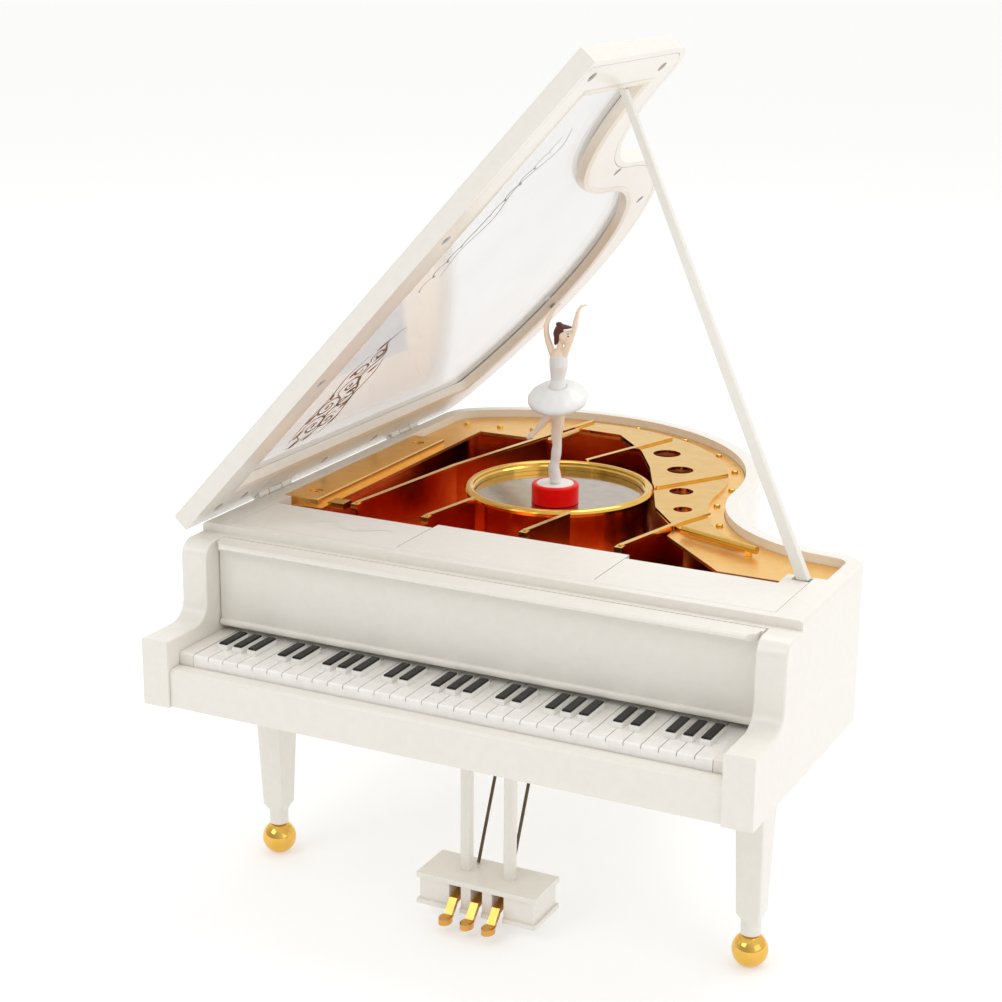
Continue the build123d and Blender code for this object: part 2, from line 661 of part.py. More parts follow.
STRUTS = {
    "a": ((-64.5, 74.4), (-58.2, 125.9), (-42.6, 200.5)),
    "b_front": ((-39.1, 72.5), (-35.4, 94.5)),
    "b_rear": ((-22.6, 152.6), (-9.4, 192.2)),
    "c": ((-6.5, 72.8), (-2.6, 93.6)),
    "d": ((24.0, 72.7), (30.7, 102.9), (34.6, 114.3)),
    "e": ((9.6, 134.4), (23.9, 157.9)),
}
HOOK = 2.4
RIB_A_END = (-47.9, 173.6)


def strut_hooks(margin, mode):
    """The hooked front ends of the struts."""
    for name in ("a", "b_front", "c", "d"):
        x, y = STRUTS[name][0]
        box_between(
            (x - HOOK / 2 - margin, y - HOOK - margin, HARP_TOP - 1.6 - margin),
            (x + HOOK / 2 + margin, y + 0.4 + margin, STRUT_TOP),
            mode,
        )


with BuildPart() as tray:
    with BuildSketch(at_z(TRAY_FLOOR - 1.0)):
        plan_face(WALL + 0.2, SHELF_REAR_Y)
    extrude(amount=1.0)
    with BuildSketch(at_z(TRAY_FLOOR)):
        plan_face(WALL + 0.2, SHELF_REAR_Y)
        with BuildSketch(mode=Mode.PRIVATE) as hollow:
            plan_face(WALL + 1.4, SHELF_REAR_Y + 1.2)
        add(hollow.sketch, mode=Mode.SUBTRACT)
    extrude(amount=TAIL_PLATE_TOP - 1.1 - TRAY_FLOOR)
    box_between(
        (-CHEEK_INNER + 0.2, TRAY_FRONT_Y + 3.2, TRAY_FLOOR + 6.2),
        (CHEEK_INNER - 8.0, SHELF_REAR_Y + 0.5, TRAY_FLOOR + 7.2),
    )
    for name in ("a", "b_front", "b_rear", "c", "d"):
        strip(STRUTS[name][:2], STRUT_WIDTH - 0.1, TRAY_FLOOR - 0.5, HARP_TOP - 0.02)
    strip((STRUTS["a"][1], RIB_A_END), STRUT_WIDTH - 0.1, TRAY_FLOOR - 0.5, HARP_TOP - 0.02)
    strut_hooks(0.05, Mode.SUBTRACT)
    disc(MIRROR_CENTRE, RING_OUTER + 0.2, MIRROR_TOP - 0.9, HARP_TOP + 1, Mode.SUBTRACT)
    with BuildSketch(at_z(TAIL_PLATE_TOP - 1.1)) as under_plates:
        plan_face(WALL, SHELF_REAR_Y - 2)
        with BuildLine():
            Polyline(*OPENING, OPENING[0])
        make_face(mode=Mode.SUBTRACT)
    extrude(under_plates.sketch, amount=4.0, mode=Mode.SUBTRACT)
    disc(MIRROR_CENTRE, CUP_OUTER, TRAY_FLOOR - 0.5, MIRROR_TOP - 0.9)
    disc(MIRROR_CENTRE, CUP_INNER, TRAY_FLOOR, MIRROR_TOP + 1, Mode.SUBTRACT)
    disc(MIRROR_CENTRE, 1.8, TRAY_FLOOR - 2, TRAY_FLOOR + 1, Mode.SUBTRACT)
finish(tray, "gilt_tray")

# centre and radius of each round hole in the harp, cut through both plates
HARP_HOLES = (((-3.2, 174.0), 4.6), ((8.4, 157.0), 4.3), ((18.0, 134.0), 3.8), ((25.8, 115.8), 2.9))

with BuildPart() as tail_plate:
    with BuildSketch(at_z(TAIL_PLATE_TOP - 1.0)):
        plan_face(WALL + 0.2, SHELF_REAR_Y)
        with BuildLine():
            Polyline(*OPENING, OPENING[0])
        make_face(mode=Mode.SUBTRACT)
    extrude(amount=1.0)
    disc(MIRROR_CENTRE, RING_OUTER + 0.2, TAIL_PLATE_TOP - 2, TAIL_PLATE_TOP + 1, Mode.SUBTRACT)
    for centre, radius in HARP_HOLES:
        disc(centre, radius, TAIL_PLATE_TOP - 2, TAIL_PLATE_TOP + 1, Mode.SUBTRACT)
finish(tail_plate, "tail_plate")

with BuildPart() as harp_plate:
    with BuildSketch(at_z(TAIL_PLATE_TOP)):
        plan_face(HARP_INSET, SHELF_REAR_Y)
        with BuildLine():
            Polyline(
                *OPENING[3:9],
                (30.0, 98.6),
                (36.0, 94.2),
                (53.0, 88.4),
                (90.0, 95.0),
                (90.0, 220.0),
                (OPENING[3][0], 220.0),
                OPENING[3],
            )
        make_face(mode=Mode.INTERSECT)
        for centre, radius in HARP_HOLES:
            with Locations(centre):
                Circle(radius, mode=Mode.SUBTRACT)
    extrude(amount=HARP_TOP - TAIL_PLATE_TOP)
    disc(MIRROR_CENTRE, RING_OUTER + 0.2, TAIL_PLATE_TOP - 2, TAIL_PLATE_TOP + 3, Mode.SUBTRACT)
finish(harp_plate, "harp_plate")

RIVET_INSET = 8.1


def rivet_places():
    """Rivets stand along the tail curve, along the bentside, and in the left rear corner."""
    for angle in (80, 62, 44, 27, 9):
        yield on_circle(TAIL_CENTRE, TAIL_RADIUS - RIVET_INSET, angle)
    for angle in (-168, -146):
        yield on_circle(BENT_CENTRE, BENT_RADIUS + RIVET_INSET, angle)
    for x in (-82.0, -70.0, -58.0):
        yield (x, 180.5 + (x + 82.0) * 0.15)


with BuildPart() as plate_rivets:
    for place in rivet_places():
        disc(place, 1.1, TAIL_PLATE_TOP, TAIL_PLATE_TOP + 0.9)
    fillet(plate_rivets.edges().group_by(Axis.Z)[-1], 0.5)
finish(plate_rivets, "plate_rivets")

PIN_BLOCK = ((-87.1, 69.0), (-75.6, 151.0))
PIN_BLOCK_TOP = 108.6
PIN_BLOCK_SCREWS = ((-81.0, 77.0), (-81.0, 142.5))

with BuildPart() as pin_block:
    box_between((*PIN_BLOCK[0], TAIL_PLATE_TOP), (*PIN_BLOCK[1], PIN_BLOCK_TOP))
    chamfer(pin_block.edges().group_by(Axis.Z)[-1], 0.3)
    for place in PIN_BLOCK_SCREWS:
        disc(place, 2.1, PIN_BLOCK_TOP - 1.2, PIN_BLOCK_TOP + 1, Mode.SUBTRACT)
finish(pin_block, "pin_block")

with BuildPart() as pin_block_screws:
    for place in PIN_BLOCK_SCREWS:
        disc(place, 1.9, PIN_BLOCK_TOP - 1.2, PIN_BLOCK_TOP - 0.4)
    with BuildSketch(at_z(PIN_BLOCK_TOP - 0.8)):
        with Locations(*PIN_BLOCK_SCREWS):
            Rectangle(2.6, 0.5)
            Rectangle(0.5, 2.6)
    extrude(amount=1.0, mode=Mode.SUBTRACT)
finish(pin_block_screws, "pin_block_screws")

with BuildPart() as struts:
    for points in STRUTS.values():
        strip(points, STRUT_WIDTH, HARP_TOP, STRUT_TOP + 0.3)
    strut_hooks(0, Mode.ADD)
    box_between((-73.0, 70.5, HARP_TOP - 1.6), (-67.5, 75.5, STRUT_TOP))
finish(struts, "gilt_struts")

TUBE_ENDS = ((34.6, 93.6), (61.0, 84.2))
TUBE_Z = HARP_TOP + 1.15

with BuildPart() as gilt_tube:
    start = Vector(*TUBE_ENDS[0], TUBE_Z)
    end = Vector(*TUBE_ENDS[1], TUBE_Z)
    with BuildSketch(Plane(origin=start, z_dir=end - start)):
        Circle(1.0)
    extrude(amount=(end - start).length)
    with BuildSketch(Plane(origin=start + (end - start) * 0.5, z_dir=end - start)):
        Circle(1.12)
    extrude(amount=(end - start).length * 0.5)
    with Locations((start + (end - start) * 0.9) - Vector(0, 0, 1.3)):
        Box(1.6, 1.6, 1.6)
finish(gilt_tube, "gilt_tube")

with BuildPart() as mirror_ring:
    ring_plane = Plane(origin=(*MIRROR_CENTRE, 0), x_dir=(1, 0, 0), z_dir=(0, -1, 0))
    with BuildSketch(ring_plane):
        with BuildLine():
            Polyline(
                (MIRROR_RADIUS + 0.2, MIRROR_TOP - 0.85),
                (MIRROR_RADIUS + 0.2, RING_TOP - 1.6),
                (MIRROR_RADIUS + 0.7, RING_TOP - 1.2),
                (MIRROR_RADIUS + 0.7, RING_TOP - 0.5),
            )
            Spline(
                (MIRROR_RADIUS + 0.7, RING_TOP - 0.5),
                ((MIRROR_RADIUS + RING_OUTER) / 2 + 0.3, RING_TOP),
                (RING_OUTER, RING_TOP - 1.1),
            )
            Polyline(
                (RING_OUTER, RING_TOP - 1.1),
                (RING_OUTER - 0.2, RING_TOP - 2.0),
                (CUP_OUTER, RING_TOP - 2.4),
                (CUP_OUTER, MIRROR_TOP - 0.85),
                (MIRROR_RADIUS + 0.2, MIRROR_TOP - 0.85),
            )
        make_face()
    revolve(axis=Axis((*MIRROR_CENTRE, 0), (0, 0, 1)))
finish(mirror_ring, "mirror_ring")

with BuildPart() as mirror_disc:
    disc(MIRROR_CENTRE, MIRROR_RADIUS, MIRROR_TOP - 0.85, MIRROR_TOP)
finish(mirror_disc, "mirror_disc")


# ================================================================ lid, drawn closed and then turned open
LID_BOTTOM = LID_HINGE[1]
LID_AXIS = Axis((LID_HINGE[0], 0, LID_HINGE[1]), (0, 1, 0))

# places along the lid from its hinge line, and along the piano
LID_SCREWS = (
    (181.5, 33.0),
    (180.5, 80.8),
    (121.5, 31.1),
    (131.8, 128.1),
    (110.0, 181.0),
    (51.7, 200.5),
    (62.5, 31.6),
    (4.6, 96.1),
    (4.6, 128.0),
    (4.6, 36.3),
    (4.6, 50.0),
)


def finish_open(piece, name):
    """Turns a piece of the lid to its open angle, then writes it."""
    piece.part = piece.part.rotate(LID_AXIS, -LID_ANGLE)
    finish(piece, name)


with BuildPart() as lid_shell:
    with BuildSketch(at_z(LID_BOTTOM)):
        plan_face(-LID_OVERHANG, LID_FRONT_Y)
    extrude(amount=LID_THICK)
    fillet(lid_shell.edges().group_by(Axis.Z)[-1], LID_ROUND)
    with BuildSketch(at_z(LID_BOTTOM)):
        plan_face(LID_SKIRT - LID_OVERHANG, LID_FRONT_Y + LID_SKIRT)
    extrude(amount=LID_THICK - 1.5, mode=Mode.SUBTRACT)
    with BuildSketch(at_z(LID_BOTTOM)):
        plan_face(WINDOW_INSET, WINDOW_FRONT_Y)
    extrude(amount=LID_THICK, mode=Mode.SUBTRACT)
    for centre_y in HINGE_CENTRES_Y:
        knuckle_pocket(centre_y - HINGE_HALF - 0.5, centre_y + HINGE_HALF + 0.5)
finish_open(lid_shell, "lid_shell")

with BuildPart() as lid_frame:
    with BuildSketch(at_z(LID_BOTTOM)):
        plan_face(LID_SKIRT - LID_OVERHANG + 0.15, LID_FRONT_Y + LID_SKIRT + 0.15)
        with BuildSketch(mode=Mode.PRIVATE) as window:
            plan_face(WINDOW_INSET, WINDOW_FRONT_Y)
        add(window.sketch, mode=Mode.SUBTRACT)
    extrude(amount=FRAME_THICK)
    for centre_y in HINGE_CENTRES_Y:
        knuckle_pocket(centre_y - HINGE_HALF - 0.5, centre_y + HINGE_HALF + 0.5)
        box_between(
            (LID_HINGE[0], centre_y - HINGE_HALF - 0.2, LID_BOTTOM - 1),
            (LID_HINGE[0] + 9.2, centre_y + HINGE_HALF + 0.2, LID_BOTTOM + 0.9),
            Mode.SUBTRACT,
        )
    for along, y in LID_SCREWS:
        disc((LID_HINGE[0] + along, y), 1.6, LID_BOTTOM - 1, LID_BOTTOM + 1.0, Mode.SUBTRACT)
        disc((LID_HINGE[0] + along, y), 0.8, LID_BOTTOM - 1, LID_BOTTOM + FRAME_THICK + 1, Mode.SUBTRACT)
finish_open(lid_frame, "lid_frame")

with BuildPart() as lid_screws:
    for along, y in LID_SCREWS:
        disc((LID_HINGE[0] + along, y), 1.45, LID_BOTTOM + 0.35, LID_BOTTOM + 0.95)
        disc((LID_HINGE[0] + along, y), 0.7, LID_BOTTOM + 0.9, LID_BOTTOM + FRAME_THICK + 0.9)
finish_open(lid_screws, "lid_screws")

with BuildPart() as lid_window:
    with BuildSketch(at_z(LID_BOTTOM + FRAME_THICK + 0.05)):
        plan_face(WINDOW_INSET - 2.2, WINDOW_FRONT_Y - 2.2)
        for along, y in LID_SCREWS:
            with Locations((LID_HINGE[0] + along, y)):
                Circle(1.2, mode=Mode.SUBTRACT)
    extrude(amount=0.9)
finish_open(lid_window, "lid_window")

with BuildPart() as lid_hinge_leaves:
    for centre_y in HINGE_CENTRES_Y:
        for side in (-1, 1):
            low, high = sorted((centre_y + side * (CASE_KNUCKLE_HALF + GAP), centre_y + side * HINGE_HALF))
            rod_along_y(LID_HINGE[0], LID_HINGE[1], KNUCKLE_RADIUS, low, high)
            box_between((LID_HINGE[0], low, LID_BOTTOM), (LID_HINGE[0] + 9.0, high, LID_BOTTOM + 0.8))
        box_between(
            (LID_HINGE[0] + KNUCKLE_RADIUS + 0.6, centre_y - HINGE_HALF, LID_BOTTOM),
            (LID_HINGE[0] + 9.0, centre_y + HINGE_HALF, LID_BOTTOM + 0.8),
        )
    for centre_y in HINGE_CENTRES_Y:
        rod_along_y(*LID_HINGE, 0.8, centre_y - HINGE_HALF - 1, centre_y + HINGE_HALF + 1, Mode.SUBTRACT)
finish_open(lid_hinge_leaves, "lid_hinge_leaves")

with BuildPart() as case_hinge_leaves:
    for centre_y in HINGE_CENTRES_Y:
        low, high = centre_y - CASE_KNUCKLE_HALF + 0.1, centre_y + CASE_KNUCKLE_HALF - 0.1
        rod_along_y(*LID_HINGE, KNUCKLE_RADIUS, low, high)
        box_between((-HALF, low, RIM_TOP - 7.8), (-HALF + 0.7, high, RIM_TOP - 0.2))
        rod_along_y(*LID_HINGE, 0.75, low - 1, high + 1, Mode.SUBTRACT)
finish(case_hinge_leaves, "case_hinge_leaves")

with BuildPart() as lid_hinge_pins:
    for centre_y in HINGE_CENTRES_Y:
        rod_along_y(*LID_HINGE, 0.74, centre_y - HINGE_HALF, centre_y + HINGE_HALF)
finish(lid_hinge_pins, "lid_hinge_pins")

# ---------------------------------------------------------------- prop
with BuildPart() as lid_prop:
    with BuildSketch(around(PROP_FOOT, PROP_FOOT[2])):
        RectangleRounded(*PROP_FOOT_SIZE, 0.4)
    with BuildSketch(around(PROP_TIP, PROP_TIP[2])):
        RectangleRounded(*PROP_TIP_SIZE, 0.4)
    loft()
finish(lid_prop, "lid_prop")


# ================================================================ musical movement
with BuildPart() as bed_plate:
    box_between(
        (WINDING_AXIS[0] - 17, GOVERNOR[1] - 5, BED_BOTTOM),
        (MIRROR_CENTRE[0] + 5, WINDING_AXIS[1] + 17, BED_TOP),
    )
    for x in (WINDING_AXIS[0] - 13, MIRROR_CENTRE[0] + 1):
        for y in (GOVERNOR[1] - 1, WINDING_AXIS[1] + 13):
            disc((x, y), 2.5, CASE_BOTTOM + 2.0, BED_BOTTOM)
    box_between(
        (COMB_EDGE_X + 9.5, CYLINDER_FRONT_Y, BED_BOTTOM),
        (COMB_EDGE_X + 15.0, CYLINDER_REAR_Y - 1.0, CYLINDER_AXIS_Z - 0.55),
    )
    disc(GOVERNOR, 0.65, BED_TOP - 1.2, BED_TOP + 1, Mode.SUBTRACT)
    disc(WINDING_AXIS, 1.6, BED_BOTTOM - 1, BED_TOP + 1, Mode.SUBTRACT)
    disc(MIRROR_CENTRE, 2.6, BED_TOP - 0.5, WHEEL_BOTTOM - 1.0)
    disc(MIRROR_CENTRE, 1.25, BED_TOP, WHEEL_BOTTOM + 1.0, Mode.SUBTRACT)
finish(bed_plate, "movement_bed_plate")

with BuildPart() as barrel:
    disc(WINDING_AXIS, BARREL_RADIUS, BED_TOP, WHEEL_BOTTOM - 1.0)
    disc(WINDING_AXIS, BARREL_RADIUS - 1.0, BED_TOP + 1.0, WHEEL_BOTTOM - 2.0, Mode.SUBTRACT)
    disc(WINDING_AXIS, 1.6, BED_TOP - 1, WHEEL_BOTTOM + 1, Mode.SUBTRACT)
finish(barrel, "spring_barrel")

SPRING_TURNS = 6
SPRING_PITCH = 1.7

with BuildPart() as mainspring:
    with BuildSketch(around(WINDING_AXIS, BED_TOP + 2.0)):
        for turn in reversed(range(SPRING_TURNS)):
            radius = 3.2 + turn * SPRING_PITCH
            Circle(radius + 0.25)
            Circle(radius - 0.25, mode=Mode.SUBTRACT)
        for turn in range(SPRING_TURNS - 1):
            inner = 3.2 + turn * SPRING_PITCH
            with Locations(Location((0, 0, 0), (0, 0, 60 * turn))):
                with Locations((inner + SPRING_PITCH / 2, 0)):
                    Rectangle(SPRING_PITCH, 0.5)
    extrude(amount=WHEEL_BOTTOM - BED_TOP - 5.0)
finish(mainspring, "mainspring")

CROWN_TOOTH = 0.42

with BuildPart() as great_wheel:
    with BuildSketch(around(WINDING_AXIS, WHEEL_BOTTOM)):
        gear_face(WHEEL_TEETH, WHEEL_RADIUS, 0.5, 0.8, 0.0)
        Circle(1.55, mode=Mode.SUBTRACT)
    extrude(amount=WHEEL_TOP - WHEEL_BOTTOM)
    with BuildSketch(around(WINDING_AXIS, WHEEL_TOP)):
        with PolarLocations(CROWN_RADIUS, WHEEL_TEETH, start_angle=-90):
            Rectangle(1.6, CROWN_TOOTH * 2)
    extrude(amount=CROWN_HEIGHT)
finish(great_wheel, "great_wheel")

with BuildPart() as winding_arbor:
    disc(WINDING_AXIS, 1.5, 55.0, WHEEL_TOP + 0.5)
    disc(WINDING_AXIS, 2.2, WHEEL_TOP + 0.05, WHEEL_TOP + 0.8)
    disc(WINDING_AXIS, 2.2, WHEEL_BOTTOM - 0.7, WHEEL_BOTTOM - 0.05)
finish(winding_arbor, "winding_arbor")

with BuildPart() as winding_key:
    disc(WINDING_AXIS, 2.8, 53.0, 61.5)
    with BuildSketch(Plane(origin=(*WINDING_AXIS, 49.0), x_dir=(1, 0, 0), z_dir=(0, -1, 0))):
        for side in (-1, 1):
            with Locations((side * 6.2, 0)):
                Ellipse(6.0, 5.0)
        Rectangle(5.0, 9.0)
        for side in (-1, 1):
            with Locations((side * 7.2, 0)):
                Circle(2.2, mode=Mode.SUBTRACT)
    extrude(amount=1.0, both=True)
    disc(WINDING_AXIS, 1.52, 54.9, 62.0, Mode.SUBTRACT)
finish(winding_key, "winding_key")

with BuildPart() as music_cylinder:
    rod_along_y(WINDING_AXIS[0], CYLINDER_AXIS_Z, CYLINDER_RADIUS, CYLINDER_FRONT_Y, CYLINDER_REAR_Y)
    rod_along_y(
        WINDING_AXIS[0], CYLINDER_AXIS_Z, 1.0, END_GEAR_REAR_Y - 1.4, WINDING_AXIS[1] - CROWN_RADIUS + 1.2
    )
    axle_plane = Plane(
        origin=(WINDING_AXIS[0], WINDING_AXIS[1] - CROWN_RADIUS - 1.0, CYLINDER_AXIS_Z),
        x_dir=(1, 0, 0),
        z_dir=(0, -1, 0),
    )
    with BuildSketch(axle_plane.offset(-2.0)):
        gear_face(CYLINDER_TEETH, CYLINDER_PINION_RADIUS, 0.3, 0.8, -90 + 180 / CYLINDER_TEETH)
    extrude(amount=2.0)
    end_plane = Plane(
        origin=(WINDING_AXIS[0], END_GEAR_REAR_Y, CYLINDER_AXIS_Z), x_dir=(1, 0, 0), z_dir=(0, -1, 0)
    )
    with BuildSketch(end_plane):
        gear_face(END_GEAR_TEETH, END_GEAR_RADIUS, 0.3, 0.4, 0.0)
    extrude(amount=1.4)
finish(music_cylinder, "music_cylinder")

PIN_ROWS = 18

with BuildPart() as cylinder_pins:
    for row in range(PIN_ROWS):
        y = CYLINDER_FRONT_Y + 1.2 + row * (CYLINDER_REAR_Y - CYLINDER_FRONT_Y - 2.4) / (PIN_ROWS - 1)
        for turn in range(3):
            angle = 47 * row + 120 * turn + 20
            direction = Vector(cos(radians(angle)), 0, sin(radians(angle)))
            start = Vector(WINDING_AXIS[0], y, CYLINDER_AXIS_Z) + direction * (CYLINDER_RADIUS - 0.4)
            with BuildSketch(Plane(origin=start, z_dir=direction)):
                Circle(0.15)
            extrude(amount=0.9)
finish(cylinder_pins, "cylinder_pins")

with BuildPart() as cylinder_bearings:
    for y_low in (CYLINDER_FRONT_Y - 3.4, CYLINDER_REAR_Y + 1.2):
        box_between(
            (WINDING_AXIS[0] - 3, y_low, BED_TOP),
            (WINDING_AXIS[0] + 3, y_low + 1.6, CYLINDER_AXIS_Z + 3),
        )
        rod_along_y(WINDING_AXIS[0], CYLINDER_AXIS_Z, 1.05, y_low - 1, y_low + 3, Mode.SUBTRACT)
    disc(WINDING_AXIS, BARREL_RADIUS + 1.2, BED_TOP - 1, WHEEL_BOTTOM, Mode.SUBTRACT)
    disc(WINDING_AXIS, WHEEL_RADIUS + 1.2, WHEEL_BOTTOM - 2, WHEEL_TOP + 0.5, Mode.SUBTRACT)
finish(cylinder_bearings, "cylinder_bearings")

with BuildPart() as comb:
    box_between(
        (COMB_EDGE_X, CYLINDER_FRONT_Y, CYLINDER_AXIS_Z - 0.5),
        (COMB_EDGE_X + 15.0, CYLINDER_REAR_Y, CYLINDER_AXIS_Z + 0.5),
    )
    for tooth in range(1, PIN_ROWS):
        y = CYLINDER_FRONT_Y + tooth * (CYLINDER_REAR_Y - CYLINDER_FRONT_Y) / PIN_ROWS
        box_between(
            (COMB_EDGE_X - 1, y - 0.15, CYLINDER_AXIS_Z - 1),
            (COMB_EDGE_X + 9.0, y + 0.15, CYLINDER_AXIS_Z + 1),
            Mode.SUBTRACT,
        )
finish(comb, "comb")

with BuildPart() as comb_screws:
    for share in (0.2, 0.8):
        y = CYLINDER_FRONT_Y + share * (CYLINDER_REAR_Y - CYLINDER_FRONT_Y)
        disc((COMB_EDGE_X + 12.2, y), 1.7, CYLINDER_AXIS_Z + 0.55, CYLINDER_AXIS_Z + 1.6)
finish(comb_screws, "comb_screws")

GOVERNOR_HEAD = 94.8

with BuildPart() as governor_bracket:
    box_between(
        (GOVERNOR[0] + 4.6, GOVERNOR[1] - 3, BED_TOP),
        (GOVERNOR[0] + 6.4, GOVERNOR[1] + 3, GOVERNOR_HEAD),
    )
    box_between(
        (GOVERNOR[0] - 2.2, GOVERNOR[1] - 2, GOVERNOR_HEAD - 1.4),
        (GOVERNOR[0] + 5.0, GOVERNOR[1] + 2, GOVERNOR_HEAD),
    )
    disc(GOVERNOR, 0.65, GOVERNOR_HEAD - 2, GOVERNOR_HEAD + 1, Mode.SUBTRACT)
finish(governor_bracket, "governor_bracket")

WORM_TURNS = 5
WORM_PITCH = 1.3

with BuildPart() as governor:
    disc(GOVERNOR, 0.6, BED_TOP - 1.1, GOVERNOR_HEAD - 0.3)
    disc(GOVERNOR, WORM_RADIUS - 0.5, CYLINDER_AXIS_Z - 3.4, CYLINDER_AXIS_Z + 3.4)
    for turn in range(WORM_TURNS):
        z = CYLINDER_AXIS_Z + (turn - (WORM_TURNS - 1) / 2) * WORM_PITCH
        disc(GOVERNOR, WORM_RADIUS, z - 0.3, z + 0.3)
    box_between((GOVERNOR[0] - 3.4, GOVERNOR[1] - 0.4, 71.5), (GOVERNOR[0] + 3.4, GOVERNOR[1] + 0.4, 79.5))
finish(governor, "governor_fan")

with BuildPart() as stop_slide:
    box_between(
        (STOP_CENTRE[0] - 5.0, STOP_CENTRE[1] - 3.0, CASE_BOTTOM + 2.3),
        (STOP_CENTRE[0] + 3.0, STOP_CENTRE[1] + 3.0, CASE_BOTTOM + 3.2),
    )
    box_between(
        (STOP_CENTRE[0] - STOP_TRAVEL / 2 - 1.5, STOP_CENTRE[1] - 1.3, CASE_BOTTOM - 2.0),
        (STOP_CENTRE[0] - STOP_TRAVEL / 2 + 1.5, STOP_CENTRE[1] + 1.3, CASE_BOTTOM + 2.4),
    )
finish(stop_slide, "stop_slide")

# ---------------------------------------------------------------- magnet arm
with BuildPart() as magnet_arm:
    disc(MIRROR_CENTRE, 1.2, BED_TOP + 0.3, ARM_TOP_Z)
    with BuildSketch(around(MIRROR_CENTRE, WHEEL_BOTTOM - 0.2)):
        gear_face(PINION_TEETH, PINION_RADIUS, 0.5, 0.8, 180 + 180 / PINION_TEETH)
    extrude(amount=WHEEL_TOP - WHEEL_BOTTOM + 0.4)
    with BuildSketch(around(MIRROR_CENTRE, ARM_BOTTOM)):
        Circle(3.5)
        with Locations(Location((0, 0, 0), (0, 0, DANCER_ANGLE))):
            SlotCenterToCenter(2 * MAGNET_ORBIT, 5.0)
            with Locations((MAGNET_ORBIT, 0)):
                Circle(4.9)
    extrude(amount=ARM_TOP_Z - ARM_BOTTOM)
finish(magnet_arm, "magnet_arm")

with BuildPart() as arm_magnet:
    disc(DANCER, 4.2, ARM_TOP_Z + 0.02, ARM_TOP_Z + 2.0)
finish(arm_magnet, "arm_magnet")


# ================================================================ dancer
def dancer_point(x, y, z):
    """A place given from the middle of the pedestal's underside."""
    return Vector(DANCER[0] + x, DANCER[1] + y, PEDESTAL_BOTTOM + z)


def limb(start, end, start_radius, end_radius):
    """A tapered round limb between two places."""
    direction = end - start
    with BuildSketch(Plane(origin=start, z_dir=direction)) as near:
        Circle(start_radius)
    with BuildSketch(Plane(origin=end, z_dir=direction)) as far:
        Circle(end_radius)
    loft([near.sketch, far.sketch])


with BuildPart() as pedestal:
    disc(DANCER, PEDESTAL_RADIUS, PEDESTAL_BOTTOM, PEDESTAL_TOP)
    fillet(pedestal.edges().group_by(Axis.Z)[-1], 0.7)
    disc(DANCER, CAP_RADIUS + 0.05, PEDESTAL_TOP - CAP_THICK, PEDESTAL_TOP + 1, Mode.SUBTRACT)
    disc(DANCER, 4.1, PEDESTAL_BOTTOM - 1, PEDESTAL_BOTTOM + 2.4, Mode.SUBTRACT)
finish(pedestal, "dancer_pedestal")

with BuildPart() as dancer_magnet:
    disc(DANCER, 4.0, PEDESTAL_BOTTOM + 0.2, PEDESTAL_BOTTOM + 2.3)
finish(dancer_magnet, "dancer_magnet")

with BuildPart() as pedestal_cap:
    disc(DANCER, CAP_RADIUS, PEDESTAL_TOP - CAP_THICK, PEDESTAL_TOP)
finish(pedestal_cap, "pedestal_cap")

HIP = dancer_point(0.6, 0.4, 31.0)
FOOT = dancer_point(-0.2, 0.0, PEDESTAL_TOP - PEDESTAL_BOTTOM)
WAIST = dancer_point(0.4, 0.4, 38.0)
SHOULDER = dancer_point(0.9, 0.2, 47.4)
HEAD = dancer_point(1.8, -0.2, 52.4)

BACK_TOES = dancer_point(-8.6, 3.0, 20.6)

with BuildPart() as dancer_figure:
    limb(FOOT, HIP, 1.5, 2.3)
    limb(BACK_TOES, HIP, 0.8, 2.1)
    with Locations(HIP):
        Sphere(2.6)
    limb(HIP, WAIST, 2.3, 2.0)
    limb(WAIST, SHOULDER, 2.0, 2.7)
    limb(SHOULDER, HEAD, 1.0, 0.9)
    with Locations(HEAD):
        Sphere(2.7)
    with Locations(HEAD + Vector(1.4, 0.8, 1.9)):
        Sphere(1.2)
    for side, elbow, hand in (
        (-1, dancer_point(-2.8, 0.4, 54.0), dancer_point(-0.2, -0.2, 62.4)),
        (1, dancer_point(5.4, 0.2, 54.5), dancer_point(7.0, -0.2, 62.6)),
    ):
        limb(SHOULDER + Vector(side * 2.2, 0, -0.9), elbow, 0.95, 0.75)
        limb(elbow, hand, 0.75, 0.55)
        with Locations(elbow):
            Sphere(0.85)
finish(dancer_figure, "dancer_figure")

with BuildPart() as dancer_tutu:
    with BuildSketch(Plane(origin=dancer_point(0.3, 0.2, 29.6), x_dir=(1, 0, 0), z_dir=(0.10, 0, 1))):
        Circle(8.2)
    with BuildSketch(Plane(origin=dancer_point(0.5, 0.3, 33.4), x_dir=(1, 0, 0), z_dir=(0.10, 0, 1))):
        Circle(9.2)
    with BuildSketch(Plane(origin=dancer_point(0.6, 0.4, 37.8), x_dir=(1, 0, 0), z_dir=(0.06, 0, 1))):
        Circle(3.0)
    loft()
    with Locations(HIP):
        Sphere(2.7, mode=Mode.SUBTRACT)
    for start, end, radius in (
        (FOOT, HIP, 2.5),
        (BACK_TOES, HIP, 2.4),
        (HIP, WAIST + (WAIST - HIP) * 0.1, 2.5),
    ):
        with BuildSketch(Plane(origin=start, z_dir=end - start)) as leg_hole:
            Circle(radius)
        extrude(leg_hole.sketch, amount=(end - start).length, mode=Mode.SUBTRACT)
finish(dancer_tutu, "dancer_tutu")
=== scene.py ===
"""Looks of the toy grand piano: materials, dancer, lid print, screws, studio and camera.

Metres, in the part's frame. Tables of places on the piano are in millimetres, and place() converts them.
"""

import json
import math

import bmesh
import bpy
from mathutils import Matrix, Vector


